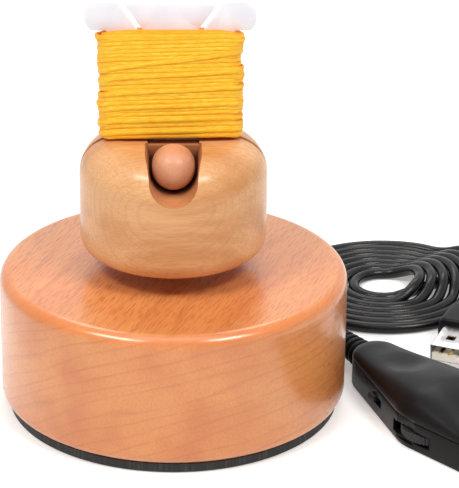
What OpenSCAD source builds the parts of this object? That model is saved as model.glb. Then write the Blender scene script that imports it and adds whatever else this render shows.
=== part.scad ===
// Desk-top winder for embroidery floss bobbins: a weighted wooden base with a geared motor,
// a turning wooden head that holds a card bobbin on edge, and a USB lead with a speed control.

/* [Base] */
// Diameter of the turned wooden base
base_d = 80; // [74:1:110]
// Height of the wooden base without its foot pad
base_h = 31; // [30:1:45]
// Radius of the rounded top edge
base_top_round = 3; // [1:0.5:6]
// Radius of the rounded bottom edge
base_bottom_round = 1.5; // [0.5:0.5:3]
// Diameter of the hollow inside the base
cavity_d = 63; // [58:1:66]
// Thickness of the wood over the hollow
top_wall = 6.5; // [5:0.5:9]
// Thickness of the plywood board that closes the base
board_h = 3; // [2:0.5:4]
// Width of the ledge that the board sits against
ledge_w = 4; // [3.8:0.1:4.5]
// Thickness of the rubber foot pad
pad_h = 2.5; // [1.5:0.5:5]
// Diameter of the rubber foot pad
pad_d = 75; // [60:1:78]
// Number of screws in the bottom board
board_screw_count = 4; // [3:1:6]

/* [Head] */
// Diameter of the turning head
head_d = 42.5; // [40:0.5:56]
// Height of the turning head
head_h = 27; // [25:0.5:36]
// Gap between the base and the head
head_gap = 4.5; // [3:0.5:8]
// Radius of the domed top edge
head_top_round = 8.5; // [4:0.5:9]
// Radius of the rounded bottom edge
head_bottom_round = 4; // [1:0.5:6]
// Width of the slot that grips the bobbin card
slot_w = 1.6; // [1.3:0.1:2.4]
// Depth of the slot below the top of the head
slot_depth = 9.4; // [8.8:0.1:10]
// Width of the finger channel in front
channel_w = 10.6; // [10.2:0.2:14]
// Depth of the channel floor below the top of the head
channel_depth = 8.8; // [8:0.2:11]
// Distance from the slot's middle to the back wall of the channel
channel_back = 6.5; // [5:0.5:8]

/* [Clamp peg] */
// Diameter of the knob on the clamp peg
knob_d = 9.3; // [8:0.1:9.8]
// Length of the straight part of the knob
knob_straight = 3.3; // [2:0.1:4]
// Diameter of the shank that presses on the card
shank_d = 5; // [4:0.5:6]

/* [Bobbin] */
// Width of the card bobbin across its ears
card_w = 38; // [34:0.5:39]
// Height of the card bobbin
card_h = 41.2; // [40.8:0.1:44]
// Thickness of the card bobbin
card_t = 1; // [0.8:0.1:1.2]
// Radius of each rounded ear
ear_r = 3.8; // [3.5:0.1:4]
// Width of the middle part that carries the floss
card_core_w = 28; // [24:0.5:29]
// Width of each slit that catches the floss end
slit_w = 1; // [0.6:0.1:1.4]
// Half width of the wound floss, across the card
wind_half_w = 16; // [15:0.25:17.5]
// Half thickness of the wound floss, through the card
wind_half_t = 4.1; // [3:0.1:5]
// Thickness of one strand in the winding
strand_d = 0.8; // [0.5:0.05:0.8]
// Distance from one turn of floss to the next
strand_pitch = 1.12; // [1.12:0.01:1.3]
// Height of the lowest turn of floss over the head
wind_gap = 1.6; // [1.3:0.1:2.2]
// Turns of floss in the outer layer
strand_turns = 20; // [6:1:20]

/* [Gearbox] */
// Tooth module of all four gears
gear_module = 0.5; // [0.5:0.05:0.55]
// Teeth on each small gear
pinion_teeth = 12; // [12:1:14]
// Teeth on each large gear
wheel_teeth = 36; // [30:2:36]
// Extra distance between meshing gears
gear_slack = 0.1; // [0.05:0.05:0.2]
// Width of each gear's teeth
gear_face = 2; // [1.5:0.1:2.1]
// Thickness of each steel gearbox plate
plate_t = 1.2; // [1:0.1:1.4]
// Diameter of the gearbox plates
plate_d = 47; // [46:0.5:54]
// Diameter of the output shaft
shaft_d = 4; // [3:0.5:5]
// Diameter of the idler axle and of the motor shaft
pin_d = 2; // [1.5:0.1:2]
// Radial running clearance of every turning fit
running_clear = 0.05; // [0.02:0.01:0.08]

/* [Motor] */
// Diameter of the motor can
motor_d = 24.4; // [20:0.2:26]
// Length of the motor can
motor_h = 10.8; // [9:0.2:11]
// Wall of the motor can
motor_wall = 0.8; // [0.5:0.1:1]
// Thickness of the motor's plastic end cap
end_cap_h = 1.2; // [1:0.1:1.5]

/* [Speed control] */
// Length of the speed control's case
control_l = 57.6; // [54:0.4:66]
// Radius of the case at its narrow end
control_r_narrow = 6; // [5.5:0.1:7]
// Radius of the case at its hump
control_r_wide = 11.5; // [11:0.1:13]
// Radius of the case at its far end
control_r_far = 7.5; // [7:0.1:9]
// Height of the lower shell
control_low_h = 7; // [6.8:0.1:8]
// Height of the case at its ends
control_end_h = 10; // [9.8:0.1:11]
// Extra height of the case at its hump
control_rise = 3.8; // [2:0.1:5]
// Depth of the thumb dimple in the top of the case
dimple_depth = 1.4; // [0.6:0.1:1.6]
// Wall of the case
control_wall = 1.5; // [1:0.1:1.6]
// Radius of the thumb wheel
thumb_r = 7.4; // [7:0.1:7.8]
// How far the switch knob slides
switch_travel = 3; // [2:0.5:3]

/* [Cord and plug] */
// Diameter of the USB lead
cord_d = 2.8; // [2.4:0.1:2.8]
// Distance from one turn of the coil to the next
coil_pitch = 3; // [3:0.05:3.4]
// Radius of the innermost turn of the coil
coil_r = 6.5; // [6:0.5:9]
// Length of each ribbed strain relief
relief_l = 12; // [10:0.5:14]
// Length of the plug's ribbed strain relief
plug_relief_l = 10; // [8:0.5:13]
// Length of the plug's moulded grip
grip_l = 13; // [11:0.5:18]
// Width of the plug's moulded grip
grip_w = 15.6; // [14:0.2:17]
// Thickness of the plug's moulded grip
grip_t = 8; // [7:0.2:9]

/* [Hidden] */
$fn = 64;
// Small overlap that lets a cut pass cleanly through a face
cut = 0.5;
// Clearance between a screw and its hole, and between pieces that are pushed together
fit = 0.03;

// Heights of the base's pieces
base_z = pad_h;
board_top = base_z + board_h;
base_top = base_z + base_h;
ceiling_z = base_top - top_wall;
board_r = cavity_d / 2 + ledge_w;
board_screw_r = board_r - 2.2;
wood_screw_d = 2;
wood_screw_head_d = 3.4;
wood_screw_head_h = 1.1;
board_screw_l = 9;

// Heights of the gearbox, from the ceiling of the base down
top_plate_z = ceiling_z - plate_t;
plate_gap = 2 * gear_face + 1.3;
motor_plate_top = top_plate_z - plate_gap;
motor_plate_z = motor_plate_top - plate_t;
wheel_low_z = motor_plate_top + 0.3;
wheel_high_z = wheel_low_z + gear_face + 0.5;
shaft_low_z = wheel_high_z - 0.3;
motor_z = motor_plate_z - motor_h;
pinion_r = gear_module * pinion_teeth / 2;
wheel_r = gear_module * wheel_teeth / 2;
gear_distance = pinion_r + wheel_r + gear_slack;
post_d = 5;
post_r = plate_d / 2 - post_d / 2 - 0.8;
post_angles = [60, 180, 300];
plate_screw_d = 2.4;
plate_screw_head_d = 4.4;
plate_screw_head_h = 1.4;
plate_screw_grip = 4.5;
motor_boss_d = 6;
motor_screw_r = 8;
motor_screw_d = 1.8;
motor_screw_head_d = 3.4;
motor_screw_head_h = 0.8;

// Heights of the head and of what it holds
head_z = base_top + head_gap;
head_top = head_z + head_h;
channel_floor = head_top - channel_depth;
channel_r = channel_w / 2;
peg_z = channel_floor + channel_r;
bush_d = shaft_d + 4;
bush_flange_d = shaft_d + 7;
bush_flange_h = 1;
hub_d = shaft_d + 5;
hub_flange_d = 20;
hub_flange_h = 1.6;
hub_h = 9;
hub_screw_r = 7.2;
hub_screw_l = 7;
shaft_top = head_z + hub_h + 3;
grub_z = head_z + hub_flange_h + 3.6;
grub_d = 3;
grub_access_d = 3.4;
knob_wall_gap = 1;
peg_rest_gap = 0.05;

// Heights of the card bobbin, which stands on the floor of the slot
card_seat = 0.05;
card_z = head_top - slot_depth + card_seat;
card_mid = card_z + card_h / 2;
card_end_h = 6.8;
tab_drop = 0.6;
tab_half_w = 9.7;
slit_depth = 6.7;
slit_foot_x = 6.7;
slit_slope = 55;
strand_r = strand_d / 2;
wind_low = head_top + wind_gap;

// Cord exit at the back of the base
exit_z = board_top + 4.4;
exit_hole_d = 7;
exit_flange_d = 10;
exit_spot = 0.5;
exit_inner_d = 8.6;
exit_nose_l = 9;
exit_nose_d = 4.8;
exit_y = base_d / 2 - exit_spot + 1.5 + exit_nose_l;

// Place and direction of the speed control on the table
control_at = [59, -15];
control_dir = [8, -15] / 17;
control_angle = atan2(control_dir[1], control_dir[0]);
control_cord_z = 5;
control_end_x = control_l / 2 + relief_l;
hump_x = 5;
dimple_x = -10;
dimple_r = 13;
board_low = control_low_h - 0.4;
control_board_t = 1;
board_l = 45;
thumb_at = [7.5, thumb_r - control_r_wide - 0.1];
scoop_r = 14;
scoop_top = 7.6;
thumb_z = 2.4;
thumb_t = 2.2;
pot_low = thumb_z + thumb_t + 0.25;
switch_x = -9.5;
switch_z = 3.2;
switch_wall_y = -8.9;
boss_x = [-18, 19];
boss_d = 4.6;
case_screw_d = 2;

// Route of the lead from the base to the speed control, laid along the table
cord_r = cord_d / 2;
function control_point(x) = [
    control_at[0] + x * control_dir[0],
    control_at[1] + x * control_dir[1],
    control_cord_z
];
route_to_control = [
    [0, exit_y, exit_z], [0, exit_y + 3, exit_z], [0.4, 57.5, 8.4], [2.5, 61.5, 5.8],
    [6, 64.2, 3.7], [10.5, 65, 2.3], [14.8, 63, 1.6], [17.6, 59, cord_r], [18.6, 54, cord_r],
    [20.4, 49, cord_r], [23.6, 44.6, cord_r], [27.4, 40.6, cord_r], [31, 36.4, 1.6],
    [34.2, 31.8, 2.5], [36.7, 27.2, 4.1], control_point(-control_end_x - 3),
    control_point(-control_end_x)
];

// Coil: a flat spiral that starts over its own feed, which runs in under the turns
coil_at = [54, 58];
coil_steps = 166;
coil_step = 15;
coil_end_angle = -atan2(5, 12);
coil_start_angle = coil_end_angle + coil_steps * coil_step;
feed_l = 30;
hump_h = cord_d + 0.75;
hump_flat = 2.5;
hump_flank = 12;
rise_steps = 3;
plug_z = grip_t / 2;
plug_shell_w = 12;
plug_shell_t = 4.5;
plug_shell_out = 11.5;
plug_shell_wall = 0.3;
plug_shell_back = plug_relief_l + 5.2;
plug_shell_end = plug_relief_l + grip_l + plug_shell_out;
contact_step = 2.3;
tail_l = 3;
swing = 2.5;
swing_steps = 9;
function coil_swing(i) = swing * ease((i - coil_steps + swing_steps) / swing_steps);
function coil_radius(i) = coil_r + coil_pitch * i / 24 + coil_swing(i);
function coil_angle(i) = coil_start_angle - i * coil_step;
function ease(t) = t <= 0 ? 0 : t >= 1 ? 1 : (1 - cos(180 * t)) / 2;
function feed_angle(r) = acos(min(1, coil_r / r));
function crossing(i) = max(1, round((i * coil_step + feed_angle(coil_radius(i))) / 360));
function from_feed(i) =
    coil_radius(i) * abs(360 * crossing(i) - i * coil_step - feed_angle(coil_radius(i))) * PI / 180;
function coil_lift(i) = hump_h * (1 - ease((from_feed(i) - hump_flat) / hump_flank));
function coil_rise(i) = (plug_z - cord_r) * ease((i - coil_steps + rise_steps) / rise_steps);
function coil_point(i) = [
    coil_at[0] + coil_radius(i) * cos(coil_angle(i)),
    coil_at[1] + coil_radius(i) * sin(coil_angle(i)),
    cord_r + coil_lift(i) + coil_rise(i)
];
feed_dir = [-sin(coil_start_angle), cos(coil_start_angle), 0];
tail_dir = [sin(coil_end_angle), -cos(coil_end_angle), 0];
coil_start = [
    coil_at[0] + coil_r * cos(coil_start_angle), coil_at[1] + coil_r * sin(coil_start_angle), cord_r
];
feed_end = coil_start + feed_l * feed_dir;
coil_end = coil_point(coil_steps);
plug_at = coil_end + tail_l * tail_dir;
plug_angle = coil_end_angle - 90;
coil_route = concat(
    [for (k = [6:-1:1]) coil_start + feed_l * k / 6 * feed_dir],
    [for (i = [0:coil_steps]) coil_point(i)],
    [coil_end + tail_l * 0.1 * tail_dir, plug_at]
);

// Route of the lead from the speed control round to the feed of the coil
route_to_coil = [
    control_point(control_end_x), control_point(control_end_x + 3), [82.2, -57.6, 3.7],
    [86, -60.6, 2.3], [90.6, -61.4, 1.6], [95, -59.6, cord_r], [98, -55.8, cord_r],
    [99.2, -51, cord_r], [99, -45, cord_r], [98, -39, cord_r], [96.9, -32, cord_r],
    [96, -25, cord_r], [95.4, -18, cord_r], [95.2, -11, cord_r], [95.3, -4, cord_r],
    [95.7, 3, cord_r], [96.2, 10, cord_r], [96.8, 17, cord_r], [97.3, 24, cord_r],
    [97.7, 31, cord_r], [98, 38, cord_r], [98.2, 45, cord_r], [98.4, 52, cord_r],
    [98.6, 59, cord_r], [98.6, 65, cord_r], [97.2, 70.2, cord_r], [93.8, 73.7, cord_r],
    [89.2, 74.8, cord_r], feed_end + 3 * feed_dir, feed_end
];

// Winding of floss: one strand round the card in a flat helix
wind_rings = strand_turns * 24;
function signed_power(v, p) = sign(v) * pow(abs(v), p);
function wind_x(a, half) = half * signed_power(cos(a), 0.55);
function wind_y(a, half) = half * signed_power(sin(a), 0.8);
function wind_point(i) = [
    wind_x(i * 15 + 7.5, wind_half_w - strand_r),
    wind_y(i * 15 + 7.5, wind_half_t - strand_r),
    wind_low + strand_pitch * i / 24
];
wind_route = [for (i = [0:wind_rings]) wind_point(i)];

// Rings of a tube along a route, the tube itself, and the least gap between its turns
function unit(v) = v / norm(v);
function heading(p, i) = unit(p[min(i + 1, len(p) - 1)] - p[max(i - 1, 0)]);
function ring(p, i, r, sides, turn) =
    let (along = heading(p, i), side = unit(cross(along, [0, 0, 1])), up = cross(side, along))
    [for (k = [0:sides - 1]) p[i] + r * (cos(turn + 360 * k / sides) * side
        + sin(turn + 360 * k / sides) * up)];
function tube_points(p, r, sides, turn) = [for (i = [0:len(p) - 1]) each ring(p, i, r, sides, turn)];
function tube_walls(n, sides) = [for (i = [0:n - 2], k = [0:sides - 1]) each
    let (a = i * sides + k, b = i * sides + (k + 1) % sides)
    [[a, b, b + sides], [a, b + sides, a + sides]]];
function tube_caps(n, sides) = [for (k = [1:sides - 2]) each
    [[0, k + 1, k], [(n - 1) * sides, (n - 1) * sides + k, (n - 1) * sides + k + 1]]];
module tube(p, r, sides, turn) {
    polyhedron(tube_points(p, r, sides, turn), concat(tube_walls(len(p), sides), tube_caps(len(p), sides)));
}
function corner_gap(a, b) = min([for (u = a, v = b) norm(u - v)]);
function turn_gap(p, r, sides, turn, first, apart, last) = min([for (i = [first:last])
    min([for (j = [i + apart - 2:i + apart + 2]) if (j < len(p))
        corner_gap(ring(p, i, r, sides, turn), ring(p, j, r, sides, turn))])]);
union() {
    echo("Least gap between turns of the floss", turn_gap(wind_route, strand_r, 6, 0, 0, 24, 96));
    echo("Least gap between turns of the coil",
        turn_gap(coil_route, cord_r, 6, 30, 6, 24, len(coil_route) - 27));
    echo("Least gap between the coil and its feed", feed_gap());
}
// The feed and the spiral are compared on close points, half a millimetre apart on the feed
function feed_gap() = min([for (t = [2:0.5:feed_l], i = [12:0.25:coil_steps])
    let (q = coil_start + t * feed_dir, c = coil_point(i)) norm(c - q) - cord_d]);

// A disc with a rounded top edge and bottom edge, turned about Z
function arc(c, r, from, to, steps) = [for (i = [0:steps])
    c + r * [cos(from + (to - from) * i / steps), sin(from + (to - from) * i / steps)]];
module turned_block(r, h, top_round, bottom_round) {
    rotate_extrude()
        polygon(concat(
            [[0, 0]],
            arc([r - bottom_round, bottom_round], bottom_round, -90, 0, 6),
            arc([r - top_round, h - top_round], top_round, 0, 90, 12),
            [[0, h]]
        ));
}
// Copies of a piece on a circle
module around(count, r, start = 0) {
    for (i = [0:count - 1])
        rotate([0, 0, start + 360 * i / count]) translate([r, 0, 0]) children();
}
// A screw that points up: its head is at the bottom, sunk or flat, with a cross recess
module screw(head_d, head_h, shank_d, l, sunk = true) {
    difference() {
        union() {
            cylinder(h = head_h, d1 = head_d, d2 = sunk ? shank_d : head_d);
            cylinder(h = l, d = shank_d);
        }
        for (a = [0, 90])
            rotate([0, 0, a]) translate([0, 0, 0.3 * head_h])
                cube([0.6 * head_d, 0.14 * head_d, 0.6 * head_h + cut], center = true);
    }
}
module screw_hole(head_d, head_h, shank_d, l) {
    cylinder(h = head_h, d1 = head_d + 2 * fit, d2 = shank_d + 2 * fit);
    cylinder(h = l, d = shank_d + 2 * fit);
    translate([0, 0, -cut]) cylinder(h = cut, d = head_d + 2 * fit);
}

// Foot, bottom board and wooden base
module foot_pad() {
    color("#2b2b2d") cylinder(h = pad_h, d = pad_d);
}
module board_screw_places() {
    translate([0, 0, base_z]) around(board_screw_count, board_screw_r, 45) children();
}
module bottom_board() {
    color("#c9a878") difference() {
        translate([0, 0, base_z]) cylinder(h = board_h, r = board_r - 0.1);
        board_screw_places()
            screw_hole(wood_screw_head_d, wood_screw_head_h, wood_screw_d, board_h + cut);
    }
}
module board_screws() {
    color("#b8b8b4") board_screw_places()
        screw(wood_screw_head_d, wood_screw_head_h, wood_screw_d, board_screw_l);
}
module base_body() {
    color("#e8a878") difference() {
        translate([0, 0, base_z]) turned_block(base_d / 2, base_h, base_top_round, base_bottom_round);
        translate([0, 0, base_z - cut]) cylinder(h = board_h + cut, r = board_r);
        translate([0, 0, base_z]) cylinder(h = ceiling_z - base_z, d = cavity_d);
        cylinder(h = base_top + cut, d = bush_d + 2 * fit);
        board_screw_places() cylinder(h = board_screw_l + 0.5, d = wood_screw_d + 2 * fit);
        plate_screw_places()
            translate([0, 0, top_plate_z - cut])
                cylinder(h = plate_t + plate_screw_grip + 0.5 + cut, d = plate_screw_d + 2 * fit);
        translate([0, 0, exit_z]) rotate([-90, 0, 0]) {
            cylinder(h = base_d, d = exit_hole_d + 2 * fit);
            translate([0, 0, base_d / 2 - exit_spot]) cylinder(h = base_d, d = exit_flange_d + 0.4);
        }
    }
}
module top_bush() {
    color("#c8a24a") difference() {
        union() {
            translate([0, 0, ceiling_z + 0.1]) cylinder(h = top_wall - 0.1, d = bush_d);
            translate([0, 0, base_top]) cylinder(h = bush_flange_h, d = bush_flange_d);
        }
        translate([0, 0, ceiling_z - cut])
            cylinder(h = top_wall + bush_flange_h + 2 * cut, d = shaft_d + 2 * running_clear);
    }
}

// Gearbox plates, posts and screws
module plate_screw_places() {
    for (a = post_angles)
        rotate([0, 0, a]) translate([post_r, 0, 0]) children();
}
module gearbox_top_plate() {
    color("#a9adb0") difference() {
        translate([0, 0, top_plate_z]) cylinder(h = plate_t, d = plate_d);
        translate([0, 0, top_plate_z - cut]) cylinder(h = plate_t + 2 * cut, d = shaft_d + 1);
        translate([gear_distance, 0, top_plate_z - cut])
            cylinder(h = plate_t + 2 * cut, d = pin_d + 2 * fit);
        plate_screw_places() translate([0, 0, top_plate_z - cut])
            cylinder(h = plate_t + 2 * cut, d = plate_screw_d + 2 * fit);
    }
}
module gearbox_motor_plate() {
    color("#a9adb0") difference() {
        translate([0, 0, motor_plate_z]) cylinder(h = plate_t, d = plate_d);
        translate([0, 0, motor_plate_z - cut])
            cylinder(h = plate_t + 2 * cut, d = motor_boss_d + 2 * fit);
        translate([gear_distance, 0, motor_plate_z - cut])
            cylinder(h = plate_t + 2 * cut, d = pin_d + 2 * fit);
        plate_screw_places() translate([0, 0, motor_plate_z - cut])
            cylinder(h = plate_t + 2 * cut, d = plate_screw_d + 2 * fit);
        motor_screw_places() translate([0, 0, -plate_t - cut])
            cylinder(h = plate_t + 2 * cut, d = motor_screw_d + 2 * fit);
    }
}
module plate_posts() {
    color("#c8a24a") plate_screw_places() difference() {
        translate([0, 0, motor_plate_top]) cylinder(h = plate_gap, d = post_d);
        translate([0, 0, motor_plate_top - cut])
            cylinder(h = plate_gap + 2 * cut, d = plate_screw_d + 2 * fit);
    }
}
module plate_screws() {
    color("#8f9396") plate_screw_places()
        translate([0, 0, motor_plate_z - plate_screw_head_h])
            screw(plate_screw_head_d, plate_screw_head_h, plate_screw_d,
                plate_screw_head_h + 2 * plate_t + plate_gap + plate_screw_grip, false);
}
module idler_axle() {
    color("#b8bcc0") translate([gear_distance, 0, motor_plate_z])
        cylinder(h = ceiling_z - motor_plate_z - 0.1, d = pin_d);
}

// Gears with involute teeth; turn_by lays a tooth or a gap on the line of centres
function involute(a) = tan(a) * 180 / PI - a;
function flank_angle(teeth, radius) =
    let (rb = gear_module * teeth / 2 * cos(20))
    90 / teeth - tooth_thin(teeth) + involute(20) - involute(acos(min(1, rb / radius)));
function tooth_thin(teeth) = 0.03 / (gear_module * teeth / 2) * 180 / PI;
function gear_outline(teeth) =
    let (
        r = gear_module * teeth / 2,
        root = r - 1.25 * gear_module,
        tip = r + 0.9 * gear_module,
        steps = [root, max(root + 0.05, r * cos(20)), r, (r + tip) / 2, tip],
        half = [for (s = steps) flank_angle(teeth, s)]
    )
    [for (i = [0:teeth - 1]) each concat(
        [for (k = [0:4]) steps[k] * [cos(360 * i / teeth - half[k]), sin(360 * i / teeth - half[k])]],
        [for (k = [4:-1:0]) steps[k] * [cos(360 * i / teeth + half[k]), sin(360 * i / teeth + half[k])]]
    )];
module gear_teeth(teeth, turn_by) {
    rotate([0, 0, turn_by]) linear_extrude(gear_face) polygon(gear_outline(teeth));
}
module idler_gear() {
    color("#efe9dc") translate([gear_distance, 0, 0]) difference() {
        union() {
            translate([0, 0, wheel_low_z]) gear_teeth(wheel_teeth, 180 / wheel_teeth);
            translate([0, 0, wheel_low_z + gear_face]) cylinder(h = 0.5, r = pinion_r * 0.75);
            translate([0, 0, wheel_high_z]) gear_teeth(pinion_teeth, 180 / pinion_teeth);
            translate([0, 0, wheel_high_z + gear_face]) cylinder(h = 0.2, r = pinion_r * 0.75);
        }
        translate([0, 0, motor_plate_z]) cylinder(h = 3 * plate_gap, d = pin_d + 2 * running_clear);
    }
}
module output_gear() {
    color("#efe9dc") difference() {
        union() {
            translate([0, 0, wheel_high_z]) gear_teeth(wheel_teeth, 0);
            translate([0, 0, wheel_high_z + gear_face]) cylinder(h = 0.2, d = shaft_d + 3);
        }
        translate([0, 0, wheel_high_z - cut]) cylinder(h = gear_face + 2, d = shaft_d);
        around(4, (wheel_r + shaft_d / 2) / 2, 45) translate([0, 0, wheel_high_z - cut])
            cylinder(h = gear_face + 2 * cut, d = wheel_r - shaft_d / 2 - 3.6);
    }
}
module output_shaft() {
    color("#c3c7ca") translate([0, 0, shaft_low_z]) cylinder(h = shaft_top - shaft_low_z, d = shaft_d);
}

// Motor
module motor_screw_places() {
    for (s = [-1, 1]) translate([0, s * motor_screw_r, motor_plate_top]) children();
}
module motor_can() {
    color("#b9bdc0") difference() {
        union() {
            translate([0, 0, motor_z]) cylinder(h = motor_h, d = motor_d);
            translate([0, 0, motor_plate_z]) cylinder(h = plate_t, d = motor_boss_d);
        }
        translate([0, 0, motor_z - cut])
            cylinder(h = motor_h - motor_wall + cut, d = motor_d - 2 * motor_wall);
        cylinder(h = base_top, d = pin_d + 2 * running_clear);
        motor_screw_places() mirror([0, 0, 1])
            cylinder(h = plate_t + motor_wall + cut, d = motor_screw_d + 2 * fit);
    }
}
module motor_magnets() {
    inner = motor_d / 2 - motor_wall;
    color("#5a5a5c") translate([0, 0, motor_z + 1.5]) for (a = [20, 200])
        rotate([0, 0, a]) rotate_extrude(angle = 140)
            translate([inner - 1.9, 0]) square([1.85, motor_h - motor_wall - 2.5]);
}
module motor_end_cap() {
    inset = motor_d / 2 - motor_wall;
    color("#efe9dc") difference() {
        union() {
            translate([0, 0, motor_z - end_cap_h]) cylinder(h = end_cap_h, d = motor_d);
            translate([0, 0, motor_z - cut]) cylinder(h = cut + 1.2, r = inset - 0.03);
        }
        translate([0, 0, motor_z - 0.2]) cylinder(h = 3, d = pin_d + 2 * running_clear);
        for (s = [-1, 1]) translate([4 * s, inset, motor_z - end_cap_h / 2])
            cube([2.06, 5, 0.46], center = true);
    }
}
module motor_terminals() {
    inset = motor_d / 2 - motor_wall;
    color("#c8a24a") for (s = [-1, 1])
        translate([4 * s - 1, inset - 2.4, motor_z - end_cap_h / 2 - 0.2]) cube([2, 6.2, 0.4]);
}
module motor_screws() {
    color("#8f9396") motor_screw_places() mirror([0, 0, 1]) translate([0, 0, -motor_screw_head_h])
        screw(motor_screw_head_d, motor_screw_head_h, motor_screw_d,
            motor_screw_head_h + plate_t + motor_wall, false);
}
module motor_shaft() {
    color("#c3c7ca") translate([0, 0, motor_z - 0.1])
        cylinder(h = wheel_low_z + gear_face - motor_z + 0.1, d = pin_d);
}
module motor_armature() {
    outer = motor_d / 2 - motor_wall - 2.3;
    color("#b06a3a") translate([0, 0, motor_z + 1.9]) linear_extrude(motor_h - motor_wall - 3.1)
        difference() {
            union() {
                circle(r = outer * 0.42);
                for (a = [0, 120, 240]) rotate([0, 0, a]) translate([0, -1.4]) square([outer - 1, 2.8]);
                difference() {
                    circle(r = outer);
                    circle(r = outer - 1.2);
                    for (a = [60, 180, 300]) rotate([0, 0, a]) translate([0, -1.3]) square([outer + 1, 2.6]);
                }
            }
            circle(d = pin_d);
        }
}
module motor_pinion() {
    color("#c8a24a") difference() {
        translate([0, 0, wheel_low_z]) gear_teeth(pinion_teeth, 0);
        translate([0, 0, wheel_low_z - cut]) cylinder(h = gear_face + 2 * cut, d = pin_d);
    }
}

// Cord entry at the back of the base; along_exit points outward from the base's axis
module along_exit() {
    translate([0, 0, exit_z]) rotate([-90, 0, 0]) children();
}
module cord_grommet() {
    inside = cavity_d / 2;
    seat = base_d / 2 - exit_spot;
    color("#232325") along_exit() difference() {
        union() {
            translate([0, 0, inside - 1.6]) cylinder(h = 1.2, d = exit_inner_d);
            translate([0, 0, inside - 0.8]) cylinder(h = seat - inside + 1, d = exit_hole_d);
            translate([0, 0, seat]) cylinder(h = 1.5, d = exit_flange_d);
            translate([0, 0, seat + 1.5])
                cylinder(h = exit_nose_l, d1 = exit_hole_d, d2 = exit_nose_d);
            for (k = [0:3]) translate([0, 0, seat + 2.6 + 2 * k])
                cylinder(h = 1, d = exit_hole_d + 0.6 - 0.55 * k);
        }
        cylinder(h = base_d, d = cord_d + 2 * fit);
    }
}
module inner_cord() {
    color("#232325") along_exit() translate([0, 0, 21]) cylinder(h = exit_y - 21, d = cord_d);
}
module cord_tie() {
    color("#efe9dc") along_exit() translate([0, 0, cavity_d / 2 - 4.6]) difference() {
        union() {
            cylinder(h = 2.5, d = cord_d + 2.4);
            translate([-1.6, -cord_d / 2 - 3.2, 0]) cube([3.2, 2.6, 2.5]);
        }
        translate([0, 0, -cut]) cylinder(h = 2.5 + 2 * cut, d = cord_d + 2 * fit);
    }
}
module inner_leads() {
    lead_r = 0.55;
    terminal_y = motor_d / 2 - motor_wall + 3.8;
    terminal_top = motor_z - end_cap_h / 2 + 0.2;
    for (s = [-1, 1]) color(s < 0 ? "#b3221c" : "#1c1c1e") tube([
        [0.62 * s, 20.95, exit_z], [0.62 * s, 20.4, exit_z], [1 * s, 19.4, exit_z - 0.2],
        [2.4 * s, 18, exit_z - 0.6], [3.8 * s, 16.8, (exit_z + terminal_top) / 2 + 0.2],
        [4 * s, terminal_y - 0.6, terminal_top + lead_r + 0.05],
        [4 * s, terminal_y - 2.2, terminal_top + lead_r + 0.05]
    ], lead_r, 6, 30);
}

// Turning head
module hub_screw_places() {
    translate([0, 0, head_z]) around(3, hub_screw_r, 30) children();
}
module hub_flange() {
    color("#c8a24a") difference() {
        translate([0, 0, head_z]) union() {
            cylinder(h = hub_flange_h, d = hub_flange_d);
            cylinder(h = hub_h, d = hub_d);
        }
        translate([0, 0, head_z - cut]) cylinder(h = hub_h + 2 * cut, d = shaft_d);
        hub_screw_places()
            screw_hole(wood_screw_head_d, wood_screw_head_h, wood_screw_d, hub_flange_h + cut);
        translate([0, 0, grub_z]) rotate([-90, 0, 0]) cylinder(h = hub_d, d = grub_d + 2 * fit);
    }
}
module hub_screws() {
    color("#b8b8b4") hub_screw_places()
        screw(wood_screw_head_d, wood_screw_head_h, wood_screw_d, hub_screw_l);
}
module grub_screw() {
    color("#3a3a3c") translate([0, shaft_d / 2 + 0.02, grub_z]) rotate([-90, 0, 0]) difference() {
        cylinder(h = hub_d / 2 - shaft_d / 2, d = grub_d);
        translate([0, 0, 1.2]) cylinder(h = 3, d = 1.5, $fn = 6);
    }
}
module head_block() {
    color("#e9bd8b") difference() {
        translate([0, 0, head_z]) turned_block(head_d / 2, head_h, head_top_round, head_bottom_round);
        translate([0, 0, head_z - cut]) cylinder(h = hub_flange_h + cut, d = hub_flange_d + 2 * fit);
        translate([0, 0, head_z - cut]) cylinder(h = shaft_top - head_z + 0.2 + cut, d = hub_d + 2 * fit);
        hub_screw_places() cylinder(h = hub_screw_l + 0.5, d = wood_screw_d + 2 * fit);
        translate([0, 0, grub_z]) rotate([-90, 0, 0]) cylinder(h = head_d, d = grub_access_d);
        translate([-head_d, -slot_w / 2, head_top - slot_depth])
            cube([2 * head_d, slot_w, slot_depth + cut]);
        translate([0, -channel_back, peg_z]) rotate([90, 0, 0]) cylinder(h = head_d, r = channel_r);
        translate([-channel_r, -channel_back - head_d, peg_z]) cube([channel_w, head_d, head_h]);
        translate([0, 0, peg_z]) rotate([90, 0, 0])
            cylinder(h = head_d / 2, d = shank_d + 2 * running_clear);
    }
}
// The peg points forward: a shank through the back wall of the channel and a domed knob
module clamp_peg() {
    shank_l = channel_back + knob_wall_gap - card_t / 2 - peg_rest_gap;
    knob_r = knob_d / 2;
    color("#b9714a") translate([0, -card_t / 2 - peg_rest_gap, peg_z]) rotate([90, 0, 0]) {
        cylinder(h = shank_l + 0.5, d = shank_d);
        translate([0, 0, shank_l]) rotate_extrude() polygon(concat(
            [[0, 0], [knob_r - 0.6, 0], [knob_r, 0.6]],
            arc([0, knob_straight], knob_r, 0, 90, 12)
        ));
    }
}

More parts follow.
